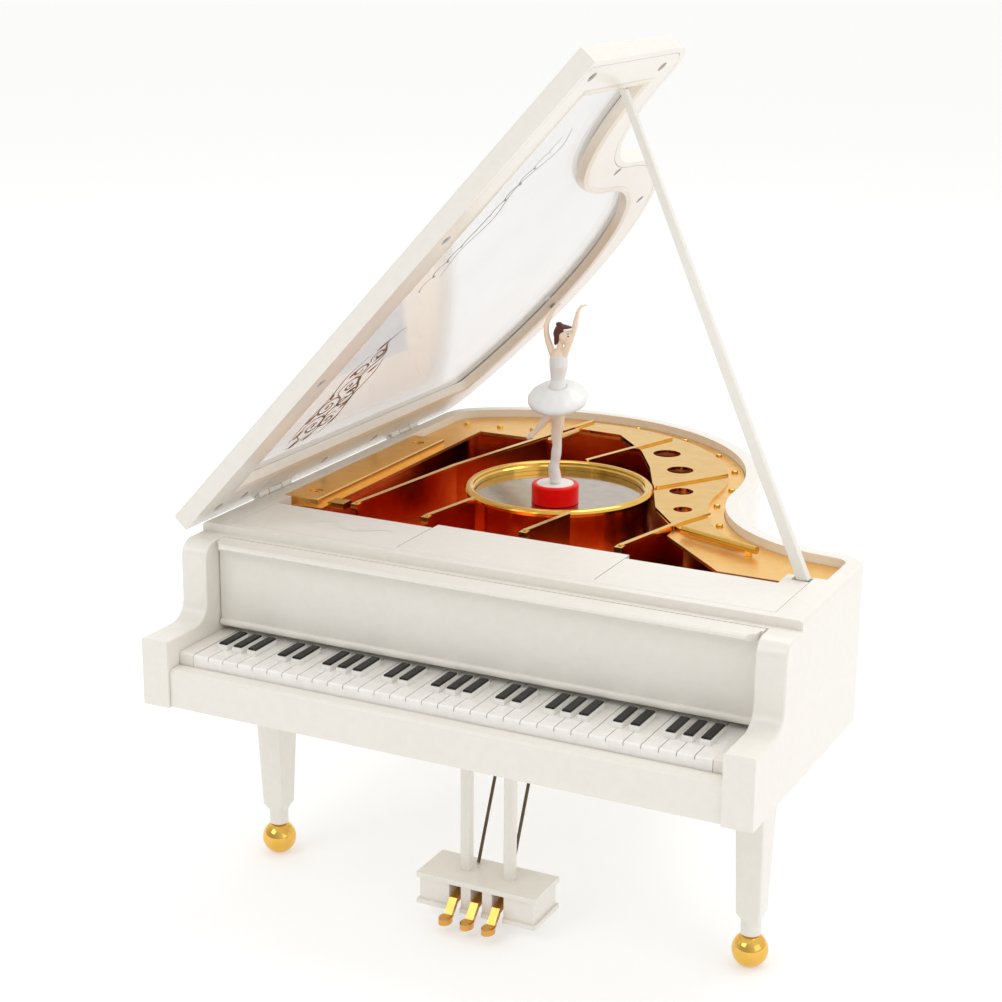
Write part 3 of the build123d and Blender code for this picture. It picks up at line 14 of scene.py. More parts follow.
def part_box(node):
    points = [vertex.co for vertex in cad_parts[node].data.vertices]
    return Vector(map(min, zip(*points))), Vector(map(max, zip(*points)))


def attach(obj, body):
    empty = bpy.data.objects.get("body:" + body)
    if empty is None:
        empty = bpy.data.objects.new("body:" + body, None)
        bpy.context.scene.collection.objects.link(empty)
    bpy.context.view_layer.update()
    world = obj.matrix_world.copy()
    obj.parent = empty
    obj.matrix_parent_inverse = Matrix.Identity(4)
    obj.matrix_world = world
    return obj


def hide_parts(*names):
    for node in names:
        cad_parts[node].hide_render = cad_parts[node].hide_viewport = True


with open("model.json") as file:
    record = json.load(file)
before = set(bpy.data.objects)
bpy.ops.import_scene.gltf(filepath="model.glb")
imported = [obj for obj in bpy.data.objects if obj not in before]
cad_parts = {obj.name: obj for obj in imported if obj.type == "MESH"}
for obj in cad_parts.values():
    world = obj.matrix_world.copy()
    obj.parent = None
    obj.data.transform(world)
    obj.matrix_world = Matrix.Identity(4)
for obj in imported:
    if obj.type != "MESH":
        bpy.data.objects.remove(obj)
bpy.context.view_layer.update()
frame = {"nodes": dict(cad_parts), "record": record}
NODES = frame["nodes"]
MM = 0.001

# ================================================================ places
# the frame's origin, in millimetres from the middle of the case's front
ORIGIN = Vector((-2.6552, 106.98225, 0.0))
LID_ANGLE = math.radians(47.55)
LID_HINGE_X = -92.8
LID_HINGE_Z = 109.3
LID_UNDERSIDE = 109.3
PANEL_TOP = 109.0


def place(x, y, z):
    """Metres in the part's frame, from millimetres off the middle of the case's front."""
    return (Vector((x, y, z)) - ORIGIN) * MM


def on_lid(along, y, height):
    """A place on the open lid: along it from the hinge, back from the front, height over its underside."""
    rise = LID_UNDERSIDE + height - LID_HINGE_Z
    return place(
        LID_HINGE_X + along * math.cos(LID_ANGLE) - rise * math.sin(LID_ANGLE),
        y,
        LID_HINGE_Z + along * math.sin(LID_ANGLE) + rise * math.cos(LID_ANGLE),
    )


# ================================================================ materials
class Look:
    """A Principled material with noise in its colour, roughness and surface."""

    def __init__(self, name, **sockets):
        self.material = bpy.data.materials.new(name)
        self.material.use_nodes = True
        self.tree = self.material.node_tree
        self.shader = self.tree.nodes["Principled BSDF"]
        for socket, value in sockets.items():
            self.shader.inputs[socket.replace("_", " ")].default_value = value
        self.place = self.tree.nodes.new("ShaderNodeTexCoord").outputs["Object"]

    def node(self, kind, inputs=None, **fields):
        made = self.tree.nodes.new(kind)
        for field, value in fields.items():
            setattr(made, field, value)
        for socket, value in (inputs or {}).items():
            if isinstance(value, bpy.types.NodeSocket):
                self.tree.links.new(value, made.inputs[socket])
            else:
                made.inputs[socket].default_value = value
        return made

    def noise(self, scale, detail=3.0, stretch=None):
        at = self.place
        if stretch:
            at = self.node("ShaderNodeMapping", {"Vector": at, "Scale": stretch}).outputs[0]
        return self.node("ShaderNodeTexNoise", {"Vector": at, "Scale": scale, "Detail": detail}).outputs[0]

    def ramp(self, value, low, high, start=0.35, end=0.65):
        made = self.node("ShaderNodeValToRGB", {"Fac": value})
        made.color_ramp.elements[0].position = start
        made.color_ramp.elements[0].color = (*low, 1)
        made.color_ramp.elements[1].position = end
        made.color_ramp.elements[1].color = (*high, 1)
        return made.outputs[0]

    def spread(self, value, start, end, low, high):
        """Carries value from the range start to end over to the range low to high."""
        return self.node("ShaderNodeMapRange", dict(enumerate((value, start, end, low, high)))).outputs[0]

    def mix(self, share, first, second):
        return self.node("ShaderNodeMixRGB", {0: share, 1: first, 2: (*second, 1)}).outputs[0]

    def colour(self, value):
        self.tree.links.new(value, self.shader.inputs["Base Color"])

    def worn_and_highlit_edges(self, colour, edge, amount, radius=0.0004):
        """Colour shifts towards a lighter edge colour where the surface turns sharply: partly edge wear,
        partly a painted highlight.
        """
        rounded = self.node("ShaderNodeBevel", {"Radius": radius}, samples=4).outputs[0]
        flat = self.node("ShaderNodeNewGeometry").outputs["Normal"]
        facing = self.node("ShaderNodeVectorMath", {0: rounded, 1: flat}, operation="DOT_PRODUCT")
        sharp = self.spread(facing.outputs["Value"], 0.99, 0.75, 0.0, amount)
        return self.mix(sharp, colour, edge)

    def roughness(self, value, low, high):
        """Ranges stay on one side of 0.274: an ivory of 0.26 to 0.32 gives patches once denoised."""
        self.tree.links.new(self.spread(value, 0.3, 0.7, low, high), self.shader.inputs["Roughness"])

    def bump(self, value, distance, strength=1.0):
        made = self.node("ShaderNodeBump", {"Height": value, "Distance": distance, "Strength": strength})
        self.tree.links.new(made.outputs[0], self.shader.inputs["Normal"])


def plastic(name, low, high, roughness=(0.29, 0.34), coat=0.25, grain=600, depth=0.000008, **sockets):
    """Moulded plastic: fine tone mottling, drifting gloss and a soft moulded grain."""
    look = Look(name, Coat_Weight=coat, Coat_Roughness=0.12, **sockets)
    look.colour(look.ramp(look.noise(420, 1), low, high, 0.2, 0.8))
    look.roughness(look.noise(60, 1), *roughness)
    look.bump(look.noise(grain, 1), depth, 0.6)
    return look.material


def metal(name, low, high, edge, roughness=(0.1, 0.2), stretch=(1, 1, 1), scratch=320, depth=0.000001):
    """Metal or bright plating: tone drift, brushed or polished streaks and lighter edges, partly wear and
    partly a painted highlight.
    """
    look = Look(name, Metallic=1.0)
    look.colour(look.worn_and_highlit_edges(look.ramp(look.noise(240, 1), low, high, 0.2, 0.8), edge, 0.4))
    streaks = look.noise(scratch, 2, stretch)
    look.roughness(streaks, *roughness)
    look.bump(streaks, depth, 0.5)
    return look.material


def clear_plastic():
    """The lid's window: mostly clear, with a faint grey and a soft wave."""
    look = Look("clear_window", IOR=1.49, Coat_Weight=0.6, Coat_Roughness=0.03)
    look.colour(look.ramp(look.noise(20), (0.70, 0.70, 0.70), (0.76, 0.76, 0.76)))
    look.roughness(look.noise(70), 0.03, 0.09)
    look.bump(look.noise(30, 1), 0.00002, 0.4)
    look.tree.links.new(look.spread(look.noise(16), 0.3, 0.7, 0.34, 0.42), look.shader.inputs["Alpha"])
    return look.material


IVORY_LOW = (0.815, 0.78, 0.715)
IVORY_HIGH = (0.84, 0.81, 0.75)
SKIN_LOW = (0.92, 0.72, 0.54)
SKIN_HIGH = (0.96, 0.79, 0.63)
# heights in metres: where the stockings start to fade to skin, where they have faded, and the skirt
STOCKING_TOP, THIGH, SKIRT = 0.122, 0.130, 0.138


def painted_figure():
    """White stockings and laced bodice, with cream skin showing between stocking top and skirt."""
    look = Look("figure_white", Coat_Weight=0.2, Coat_Roughness=0.15)
    white = look.ramp(look.noise(160, 1), (0.82, 0.81, 0.79), (0.90, 0.89, 0.87), 0.3, 0.7)
    height = look.node("ShaderNodeSeparateXYZ", {0: look.place}).outputs["Z"]
    bare = look.spread(height, STOCKING_TOP, THIGH, 0.0, 1.0)
    under = look.node("ShaderNodeMath", {0: height, 1: SKIRT}, operation="LESS_THAN").outputs[0]
    share = look.node("ShaderNodeMath", {0: bare, 1: under}, operation="MULTIPLY").outputs[0]
    look.colour(look.mix(share, white, SKIN_HIGH))
    look.roughness(look.noise(500, 1), 0.28, 0.42)
    look.bump(look.noise(1500, 1), 0.00006, 0.7)
    return look.material


# one look for each material slot in the record
LOOKS = {
    "ivory_plastic": plastic("ivory_plastic", IVORY_LOW, IVORY_HIGH),
    "key_ivory": plastic("key_ivory", (0.86, 0.84, 0.80), (0.93, 0.915, 0.88), (0.16, 0.26)),
    "key_black": plastic(
        "key_black", (0.006, 0.006, 0.006), (0.013, 0.012, 0.012), (0.4, 0.5), 0.0, Specular_IOR_Level=0.3),
    "gilt": metal("gilt", (0.82, 0.47, 0.08), (0.89, 0.56, 0.14), (1.0, 0.78, 0.34), (0.08, 0.14)),
    "gilt_satin": metal(
        "gilt_satin", (0.92, 0.55, 0.16), (0.98, 0.63, 0.21), (1.0, 0.84, 0.5), (0.29, 0.36), depth=0.000003),
    "pedal_gilt": metal(
        "pedal_gilt", (0.66, 0.33, 0.07), (0.78, 0.43, 0.12), (0.95, 0.68, 0.3), (0.16, 0.26)),
    "tray_red": metal(
        "tray_red", (0.66, 0.14, 0.02), (0.76, 0.20, 0.035), (0.95, 0.5, 0.15), (0.18, 0.26)),
    "mirror": metal("mirror", (0.44, 0.38, 0.32), (0.52, 0.46, 0.39), (0.8, 0.8, 0.78), (0.05, 0.12)),
    "brass": metal(
        "brass", (0.66, 0.50, 0.20), (0.76, 0.60, 0.28), (0.92, 0.80, 0.48), (0.29, 0.38), (1, 12, 1)),
    "steel": metal(
        "steel", (0.50, 0.50, 0.50), (0.62, 0.62, 0.61), (0.85, 0.85, 0.84), (0.29, 0.38), (12, 1, 1)),
    # brass screws coloured dark brown: painted shade of the recessed holes they sit in
    "screw_dark": metal(
        "screw_dark", (0.20, 0.17, 0.13), (0.33, 0.28, 0.20), (0.66, 0.58, 0.42), (0.29, 0.4)),
    "cast_zinc": metal(
        "cast_zinc", (0.42, 0.42, 0.42), (0.54, 0.54, 0.53), (0.72, 0.72, 0.71), (0.42, 0.58), depth=0.00001),
    "dark_rod": metal("dark_rod", (0.09, 0.065, 0.04), (0.16, 0.12, 0.08), (0.4, 0.3, 0.2), (0.3, 0.45)),
    "clear": clear_plastic(),
    "pedestal_red": plastic(
        "pedestal_red", (0.86, 0.0, 0.0), (0.92, 0.001, 0.001), (0.29, 0.34), 0.05, IOR=1.3),
    "figure": painted_figure(),
    "tulle": plastic("moulded_skirt", (0.86, 0.87, 0.86), (0.92, 0.93, 0.92), (0.29, 0.36), depth=0.000004),
}
# looks of pieces that are only in this script
SKIN = plastic("painted_skin", SKIN_LOW, SKIN_HIGH, (0.3, 0.42), 0.15)
TIARA_WHITE = plastic("tiara_white", (0.86, 0.86, 0.86), (0.92, 0.92, 0.92), (0.29, 0.34))
HAIR = plastic("painted_hair", (0.060, 0.010, 0.004), (0.115, 0.024, 0.008), (0.4, 0.5), 0.05)
# the bevel is the same white ivory plastic, coloured a darker tan as painted shade on its slope
BEZEL_PAINTED_SHADE = plastic("bezel_ivory_painted_shade", (0.79, 0.72, 0.61), (0.84, 0.77, 0.67))
PRINT_GREY = plastic("print_grey", (0.15, 0.11, 0.09), (0.25, 0.19, 0.15), (0.3, 0.4), 0.0)
PRINT_COPPER = plastic("print_copper", (0.16, 0.05, 0.015), (0.30, 0.12, 0.04), (0.3, 0.4), 0.0)

SLOT_OF = {part["node"]: part["material_slot"] for part in frame["record"]["subparts"]}

for name, node in NODES.items():
    node.data.materials.clear()
    node.data.materials.append(LOOKS[SLOT_OF[name]])


# ================================================================ mesh tools
def add_piece(name, mesh, material, body, smooth=True):
    """A new piece from a bmesh, with its look, riding on a body."""
    data = bpy.data.meshes.new(name)
    bmesh.ops.recalc_face_normals(mesh, faces=mesh.faces)
    mesh.to_mesh(data)
    mesh.free()
    data.materials.append(material)
    if smooth:
        data.polygons.foreach_set("use_smooth", [True] * len(data.polygons))
    piece = bpy.data.objects.new(name, data)
    bpy.context.scene.collection.objects.link(piece)
    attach(piece, body)
    return piece


def subdivide(piece, levels):
    made = piece.modifiers.new("smooth", "SUBSURF")
    made.levels = made.render_levels = levels


def add_tube(mesh, stations, sides=12, squash=None):
    """A closed limb through stations of (centre, radius along, radius across); squash turns its sections."""
    rings = []
    for index, (centre, wide, deep) in enumerate(stations):
        before = stations[max(index - 1, 0)][0]
        after = stations[min(index + 1, len(stations) - 1)][0]
        axis = (after - before).normalized()
        across = (squash or Vector((1, 0, 0))).cross(axis).normalized()
        along = axis.cross(across).normalized()
        ring = []
        for step in range(sides):
            turn = 2 * math.pi * step / sides
            ring.append(mesh.verts.new(
                centre + along * wide * math.cos(turn) + across * deep * math.sin(turn)))
        rings.append(ring)
    for near, far in zip(rings[:-1], rings[1:]):
        for step in range(sides):
            after = (step + 1) % sides
            mesh.faces.new((near[step], near[after], far[after], far[step]))
    mesh.faces.new(rings[0][::-1])
    mesh.faces.new(rings[-1])


def add_ball(mesh, centre, radii, heading=0.0):
    turn = Matrix.Rotation(heading, 4, "Z")
    made = bmesh.ops.create_uvsphere(mesh, u_segments=20, v_segments=14, radius=1.0)
    for vert in made["verts"]:
        vert.co = centre + turn @ Vector([vert.co[axis] * radii[axis] for axis in range(3)])


def melt(piece, voxel, relax=6):
    """Joins a piece's overlapping forms into one skin and relaxes it."""
    bpy.context.view_layer.objects.active = piece
    remesh = piece.modifiers.new("melt", "REMESH")
    remesh.mode = "VOXEL"
    remesh.voxel_size = voxel
    remesh.use_smooth_shade = True
    ease = piece.modifiers.new("ease", "SMOOTH")
    ease.iterations = relax
    ease.factor = 0.5


# ================================================================ dancer
PEDESTAL_LOW, PEDESTAL_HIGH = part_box("dancer_pedestal")
PEDESTAL_MIDDLE = [(low + high) / 2 for low, high in zip(PEDESTAL_LOW, PEDESTAL_HIGH)]
BASE = Vector((PEDESTAL_MIDDLE[0], PEDESTAL_MIDDLE[1], PEDESTAL_LOW.z))
SIDE = Vector((0.895, 0.446, 0.0))
AWAY = Vector((-0.446, 0.895, 0.0))


def body_point(side, up, away=0.0):
    """A place on the dancer: across the photo, up from the pedestal's underside, and back into the photo."""
    return BASE + (SIDE * side + AWAY * away + Vector((0, 0, up))) * MM


def limb(stations):
    """Stations in millimetres, as (side, up, away, wide, deep)."""
    return [(body_point(s, u, a), wide * MM, deep * MM) for s, u, a, wide, deep in stations]


# limbs as stations of (side, up, away, wide, deep), in millimetres
STANDING_LEG = (
    (0.0, 6.05, 0.0, 2.0, 1.7), (0.05, 7.4, 0.0, 2.4, 1.9), (-0.3, 9.4, 0.0, 2.45, 1.9),
    (-0.6, 11.4, 0.0, 2.2, 1.75), (-0.1, 13.2, 0.0, 1.65, 1.5), (0.15, 15.6, 0.0, 1.75, 1.65),
    (0.4, 18.2, 0.0, 1.55, 1.5), (0.1, 20.8, 0.0, 1.75, 1.7), (0.45, 24.0, 0.0, 2.1, 2.0),
    (0.5, 28.0, 0.0, 2.4, 2.25), (0.4, 31.0, 0.0, 2.5, 2.4),
)
RAISED_LEG = (
    (-9.0, 19.9, 0.6, 0.55, 0.5), (-7.9, 20.9, 0.6, 0.95, 0.85), (-6.4, 22.4, 0.5, 0.95, 0.9),
    (-4.8, 24.3, 0.4, 1.25, 1.2), (-3.2, 26.3, 0.3, 1.45, 1.4), (-1.6, 28.6, 0.2, 1.8, 1.8),
    (-0.2, 31.0, 0.0, 2.2, 2.2),
)
BODICE = (
    (0.2, 30.0, 0.0, 2.4, 2.6), (0.3, 33.0, 0.0, 2.7, 3.0), (0.35, 36.5, 0.0, 2.5, 2.7),
    (0.3, 38.8, 0.0, 2.05, 2.3), (0.3, 40.6, 0.0, 2.25, 2.4), (0.5, 43.2, 0.0, 2.9, 2.95),
    (0.5, 45.4, 0.0, 2.7, 2.95), (0.4, 46.7, 0.0, 2.3, 2.75),
)
SHOULDERS_AND_NECK = (
    (0.35, 44.0, 0.0, 2.1, 2.5), (0.4, 46.4, 0.0, 2.2, 2.65), (0.45, 47.8, 0.0, 1.6, 1.8),
    (0.6, 48.8, 0.0, 0.95, 0.95), (0.9, 50.2, 0.0, 0.9, 0.9), (1.4, 51.8, 0.0, 1.0, 1.0),
)
RIGHT_ARM = (
    (1.9, 46.3, -0.8, 1.1, 1.1), (2.7, 48.6, -1.0, 1.15, 1.1), (3.7, 51.2, -1.2, 1.05, 1.0),
    (4.7, 54.0, -1.2, 0.95, 0.9), (5.2, 56.0, -1.1, 0.95, 0.9), (5.6, 58.4, -1.0, 0.8, 0.75),
    (6.1, 60.6, -0.8, 0.62, 0.6), (7.0, 61.9, -0.6, 0.65, 0.45), (8.2, 62.3, -0.5, 0.5, 0.3),
    (9.0, 62.2, -0.5, 0.25, 0.2),
)
LEFT_ARM = (
    (-1.2, 46.0, 0.9, 1.1, 1.1), (-1.9, 48.2, 1.2, 1.15, 1.1), (-2.8, 50.6, 1.4, 1.05, 1.0),
    (-3.4, 53.0, 1.4, 0.95, 0.9), (-3.5, 55.5, 1.3, 0.95, 0.9), (-2.8, 57.8, 1.1, 0.8, 0.75),
    (-1.7, 59.9, 1.0, 0.62, 0.6), (-0.7, 61.3, 0.9, 0.65, 0.45), (0.3, 62.1, 0.8, 0.5, 0.3),
    (0.9, 62.5, 0.8, 0.25, 0.2),
)
# rounded forms as (side, up, away) and three radii: skull, jaw, chin, nose, lips, ear
HEAD_FORMS = (
    (2.3, 52.9, -0.3, (2.35, 2.2, 2.8)), (2.9, 51.2, -0.9, (1.35, 1.3, 1.35)),
    (3.35, 50.55, -1.25, (0.7, 0.7, 0.6)), (4.0, 52.3, -1.95, (0.4, 0.4, 0.55)),
    (3.65, 51.25, -1.75, (0.45, 0.45, 0.25)), (1.0, 52.4, -2.0, (0.45, 0.3, 0.7)),
)
# crown, back, two at the nape, bun, two along the hairline
HAIR_FORMS = (
    (1.5, 54.4, 0.35, (2.55, 2.45, 1.75)), (0.5, 53.3, 0.55, (1.85, 2.15, 2.3)),
    (-0.2, 51.5, 0.5, (0.95, 1.25, 1.5)), (-0.6, 50.4, 0.4, (0.5, 0.6, 0.9)),
    (0.4, 56.2, 0.3, (1.1, 1.1, 0.7)), (2.6, 55.2, 0.1, (1.6, 1.8, 0.7)),
    (3.0, 55.0, -0.6, (1.6, 1.6, 0.95)),
)
HEADING = math.radians(15)
EYES = ((3.1, -2.25), (4.55, -0.9))
EYE_HEIGHT, BROW_HEIGHT = 52.9, 53.7
SKIN_VOXEL, BODY_VOXEL = 0.24 * MM, 0.28 * MM


def add_forms(mesh, forms):
    for side, height, away, radii in forms:
        add_ball(mesh, body_point(side, height, away), Vector(radii) * MM, HEADING)


def dancer_body():
    """White stockings and bodice, in one skin."""
    mesh = bmesh.new()
    for stations in (STANDING_LEG, RAISED_LEG, BODICE):
        add_tube(mesh, limb(stations), squash=AWAY)
    body = add_piece("dancer_body", mesh, LOOKS["figure"], "dancer")
    melt(body, BODY_VOXEL)
    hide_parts("dancer_figure")


def dancer_skin():
    """Shoulders, neck, face and both arms."""
    mesh = bmesh.new()
    add_tube(mesh, limb(SHOULDERS_AND_NECK), squash=AWAY)
    add_forms(mesh, HEAD_FORMS)
    for stations in (RIGHT_ARM, LEFT_ARM):
        add_tube(mesh, limb(stations), squash=AWAY)
    melt(add_piece("dancer_skin", mesh, SKIN, "dancer"), SKIN_VOXEL, 4)


def dancer_hair():
    """Hair drawn back to the nape, with a bun."""
    mesh = bmesh.new()
    add_forms(mesh, HAIR_FORMS)
    melt(add_piece("dancer_hair", mesh, HAIR, "dancer"), SKIN_VOXEL, 3)


def dancer_tiara():
    """A white band over the front of the hair."""
    mesh = bmesh.new()
    band = [(2.4 + 2.35 * math.cos(t), 54.85 + 0.25 * math.cos(t), -0.3 + 2.25 * math.sin(t), 0.42, 0.34)
            for t in [math.radians(-110 + 12 * k) for k in range(11)]]
    add_tube(mesh, limb(band), 8, Vector((0, 0, 1)))
    subdivide(add_piece("dancer_tiara", mesh, TIARA_WHITE, "dancer"), 1)


def dancer_eyes():
    """Painted eyes, each with a brow over it."""
    mesh = bmesh.new()
    for side, away in EYES:
        add_ball(mesh, body_point(side, EYE_HEIGHT, away), Vector((0.34, 0.34, 0.2)) * MM)
        add_ball(mesh, body_point(side - 0.05, BROW_HEIGHT, away * 0.98), Vector((0.42, 0.42, 0.1)) * MM)
    add_piece("dancer_eyes", mesh, HAIR, "dancer")


# the rim rises by SKIRT_TILT per millimetre to the side, and by SKIRT_LIFT per millimetre away
RUFFLES = 13
SKIRT_RADIUS = 9.5
SKIRT_CENTRE, SKIRT_HEIGHT = 0.4, 33.1
SKIRT_TILT, SKIRT_LIFT = 0.085, 0.29
SKIRT_PROFILE = (
    (2.0, 4.4), (3.6, 4.0), (6.0, 3.0), (8.3, 1.7), (SKIRT_RADIUS, 0.6), (9.3, -0.7), (7.8, -1.6),
    (5.2, -2.3), (2.4, -2.2),
)


def dancer_skirt():
    """Moulded skirt: a faintly waved rim that thins outwards, higher at the back of the photo."""
    mesh = bmesh.new()
    sides = RUFFLES * 6
    rings = []
    for radius, height in SKIRT_PROFILE:
        ring = []
        for step in range(sides):
            turn = 2 * math.pi * step / sides
            spread = (radius / SKIRT_RADIUS) ** 2
            wave = math.sin(RUFFLES * turn) * 0.09 * spread
            reach = radius + math.cos(RUFFLES * turn) * 0.08 * spread
            s, a = reach * math.cos(turn), reach * math.sin(turn)
            up = SKIRT_HEIGHT + height + wave + SKIRT_TILT * s + SKIRT_LIFT * a
            ring.append(mesh.verts.new(body_point(SKIRT_CENTRE + s, up, a)))
        rings.append(ring)
    for near, far in zip(rings, rings[1:] + rings[:1]):
        for step in range(sides):
            after = (step + 1) % sides
            mesh.faces.new((near[step], near[after], far[after], far[step]))
    skirt = add_piece("dancer_skirt", mesh, LOOKS["tulle"], "dancer")
    subdivide(skirt, 1)
    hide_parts("dancer_tutu")


dancer_body()
dancer_skin()
dancer_hair()
dancer_tiara()
dancer_eyes()
dancer_skirt()

# ================================================================ lid screws, slotted
SCREW_HEAD, SCREW_RISE, SLOT_HALF = 1.45, 0.6, 0.22
SLOT_FLOOR = 0.12
HEAD_STEPS = 12


def slotted_head(mesh, to_world, top):
    """A domed head in two halves over a low floor, which leaves a slot. top is 1 to face up, -1 down."""
    rings = ((1.0, 0.0), (1.0, 0.45), (0.86, 0.8), (0.5, 0.97))
    for half in (-1, 1):
        loops = []
        for share, rise in rings:
            radius = SCREW_HEAD * share
            first = math.asin(min(1.0, SLOT_HALF / radius))
            loop = []
            for step in range(HEAD_STEPS + 1):
                turn = first + (math.pi - 2 * first) * step / HEAD_STEPS
                loop.append(mesh.verts.new(to_world(
                    radius * math.cos(turn), half * radius * math.sin(turn), top * SCREW_RISE * rise)))
            loops.append(loop)
        for low, high in zip(loops[:-1], loops[1:]):
            for step in range(HEAD_STEPS):
                mesh.faces.new((low[step], low[step + 1], high[step + 1], high[step]))
            mesh.faces.new((low[-1], low[0], high[0], high[-1]))
        mesh.faces.new(loops[-1])
    floor = []
    for step in range(2 * HEAD_STEPS):
        turn = math.pi * step / HEAD_STEPS
        floor.append(mesh.verts.new(to_world(
            SCREW_HEAD * math.cos(turn), SCREW_HEAD * math.sin(turn), top * SLOT_FLOOR)))
    mesh.faces.new(floor)


# (along the lid from its hinge, back from the front)
LID_SCREWS = (
    (181.5, 33.0), (180.5, 80.8), (121.5, 31.1), (131.8, 128.1), (110.0, 181.0), (51.7, 200.5),
    (62.5, 31.6), (4.6, 96.1), (4.6, 128.0), (4.6, 36.3), (4.6, 50.0),
)
SCREW_SEAT = 0.95
mesh = bmesh.new()
for index, (along, y) in enumerate(LID_SCREWS):
    spin = 0.7 * index
    slotted_head(mesh, lambda a, b, h: on_lid(
        along + a * math.cos(spin) - b * math.sin(spin),
        y + a * math.sin(spin) + b * math.cos(spin),
        SCREW_SEAT + h), -1)
lid_screws = add_piece("lid_screw_heads", mesh, LOOKS["screw_dark"], "lid", smooth=False)
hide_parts("lid_screws")

# ================================================================ print on the lid's window
# the print's height over the lid's underside, and how far the leaves lie under the lines, in millimetres
PRINT_HEIGHT = 3.02
LEAF_DROP = 0.01
CURVE_STEPS, LEAF_STEPS = 12, 9
SCROLL_WIND, SCROLL_STRETCH = 0.82, 1.12
ORNAMENT_SCALE, ORNAMENT_SHIFT = 0.94, -3.2


def ribbon(mesh, points, width, height=PRINT_HEIGHT, surface=on_lid):
    """A flat printed line through points, thinning at its ends."""
    left, right = [], []
    for index, (along, y) in enumerate(points):
        before = points[max(index - 1, 0)]
        after = points[min(index + 1, len(points) - 1)]
        run = math.hypot(after[0] - before[0], after[1] - before[1]) or 1.0
        nx, ny = -(after[1] - before[1]) / run, (after[0] - before[0]) / run
        share = index / (len(points) - 1)
        half = width / 2 * (0.35 + 0.65 * math.sin(math.pi * share))
        left.append(mesh.verts.new(surface(along + nx * half, y + ny * half, height)))
        right.append(mesh.verts.new(surface(along - nx * half, y - ny * half, height)))
    for index in range(len(points) - 1):
        mesh.faces.new((left[index], left[index + 1], right[index + 1], right[index]))


def scroll(centre, size, start, turns, hand):
    """Points of a spiral that winds in to centre; hand is 1 or -1, its sense."""
    steps = int(26 * turns) + 6
    points = []
    for step in range(steps + 1):
        share = step / steps
        radius = size * (1 - SCROLL_WIND * share)
        turn = math.radians(start) + hand * 2 * math.pi * turns * share
        rise = radius * math.sin(turn) * SCROLL_STRETCH
        points.append((centre[0] + radius * math.cos(turn), centre[1] + rise))
    return points


def curve(*corners):
    """A smooth line through corners."""
    points = []
    for index in range(len(corners) - 1):
        p0 = corners[max(index - 1, 0)]
        p1, p2 = corners[index], corners[index + 1]
        p3 = corners[min(index + 2, len(corners) - 1)]
        for step in range(CURVE_STEPS):
            t = step / CURVE_STEPS
            points.append(tuple(
                0.5 * (2 * p1[k] + (p2[k] - p0[k]) * t + (2 * p0[k] - 5 * p1[k] + 4 * p2[k] - p3[k]) * t * t
                       + (3 * p1[k] - p0[k] - 3 * p2[k] + p3[k]) * t ** 3)
                for k in (0, 1)))
    points.append(corners[-1])
    return points


def printed(along, y, height):
    """A place of the ornament, set a little nearer the hinge."""
    return on_lid(ORNAMENT_SCALE * along + ORNAMENT_SHIFT, y, height)


def leaf(mesh, start, end, width):
    """A flat printed leaf between two places."""
    run = math.hypot(end[0] - start[0], end[1] - start[1])
    nx, ny = -(end[1] - start[1]) / run, (end[0] - start[0]) / run
    rim = []
    for side in (1, -1):
        for step in range(1, LEAF_STEPS)[::side]:
            share = step / LEAF_STEPS
            bulge = side * width / 2 * math.sin(math.pi * share ** 0.8)
            rim.append((start[0] + (end[0] - start[0]) * share + nx * bulge,
                        start[1] + (end[1] - start[1]) * share + ny * bulge))
    rim = [start] + rim[:LEAF_STEPS - 1] + [end] + rim[LEAF_STEPS - 1:]
    mesh.faces.new([mesh.verts.new(printed(x, y, PRINT_HEIGHT - LEAF_DROP)) for x, y in rim])


mesh = bmesh.new()
for centre, size, start, turns, hand in (
    ((33.0, 68.0), 6.2, 200, 1.6, 1), ((33.5, 75.5), 4.2, 20, 1.4, -1), ((43.0, 66.0), 5.8, 160, 1.7, -1),
    ((44.0, 74.5), 4.4, 340, 1.3, 1), ((53.0, 69.5), 5.2, 190, 1.5, 1), ((61.0, 66.5), 3.8, 170, 1.4, -1),
    ((67.5, 70.5), 3.2, 200, 1.3, 1),
):
    ribbon(mesh, scroll(centre, size, start, turns, hand), 1.05, surface=printed)
for corners, width in (
    (((23, 62), (29, 73), (39, 71), (48, 77), (57, 71), (66, 75), (74, 69), (80, 73)), 1.1),
    (((25, 78), (34, 81), (45, 79), (56, 80), (64, 77)), 0.85),
    (((27, 60), (38, 59.5), (49, 61.5), (60, 60), (70, 64)), 0.85),
):
    ribbon(mesh, curve(*corners), width, surface=printed)
add_piece("window_scrolls", mesh, PRINT_GREY, "lid", smooth=False)

mesh = bmesh.new()
for start, end, width in (
    ((28.0, 61.0), (33.0, 63.5), 1.9), ((38.5, 77.0), (43.5, 80.2), 2.0), ((47.5, 63.5), (52.0, 60.6), 1.8),
    ((57.0, 74.5), (61.5, 77.5), 1.7), ((24.5, 69.5), (27.8, 73.5), 1.6), ((64.0, 71.0), (68.5, 74.8), 1.5),
    ((22.5, 64.0), (27.5, 66.5), 2.4), ((36.0, 60.5), (41.5, 62.0), 2.2), ((48.0, 71.5), (50.5, 76.5), 2.2),
    ((58.0, 62.5), (63.5, 64.5), 2.0), ((29.5, 79.5), (34.5, 82.0), 2.0), ((70.0, 66.0), (76.0, 68.5), 1.8),
):
    leaf(mesh, start, end, width)
for centre, size in (((33.0, 68.0), 1.3), ((43.0, 66.0), 1.2), ((53.0, 69.5), 1.1), ((33.5, 75.5), 0.9)):
    leaf(mesh, (centre[0] - size, centre[1]), (centre[0] + size, centre[1]), size * 1.5)
add_piece("window_leaves", mesh, PRINT_COPPER, "lid", smooth=False)

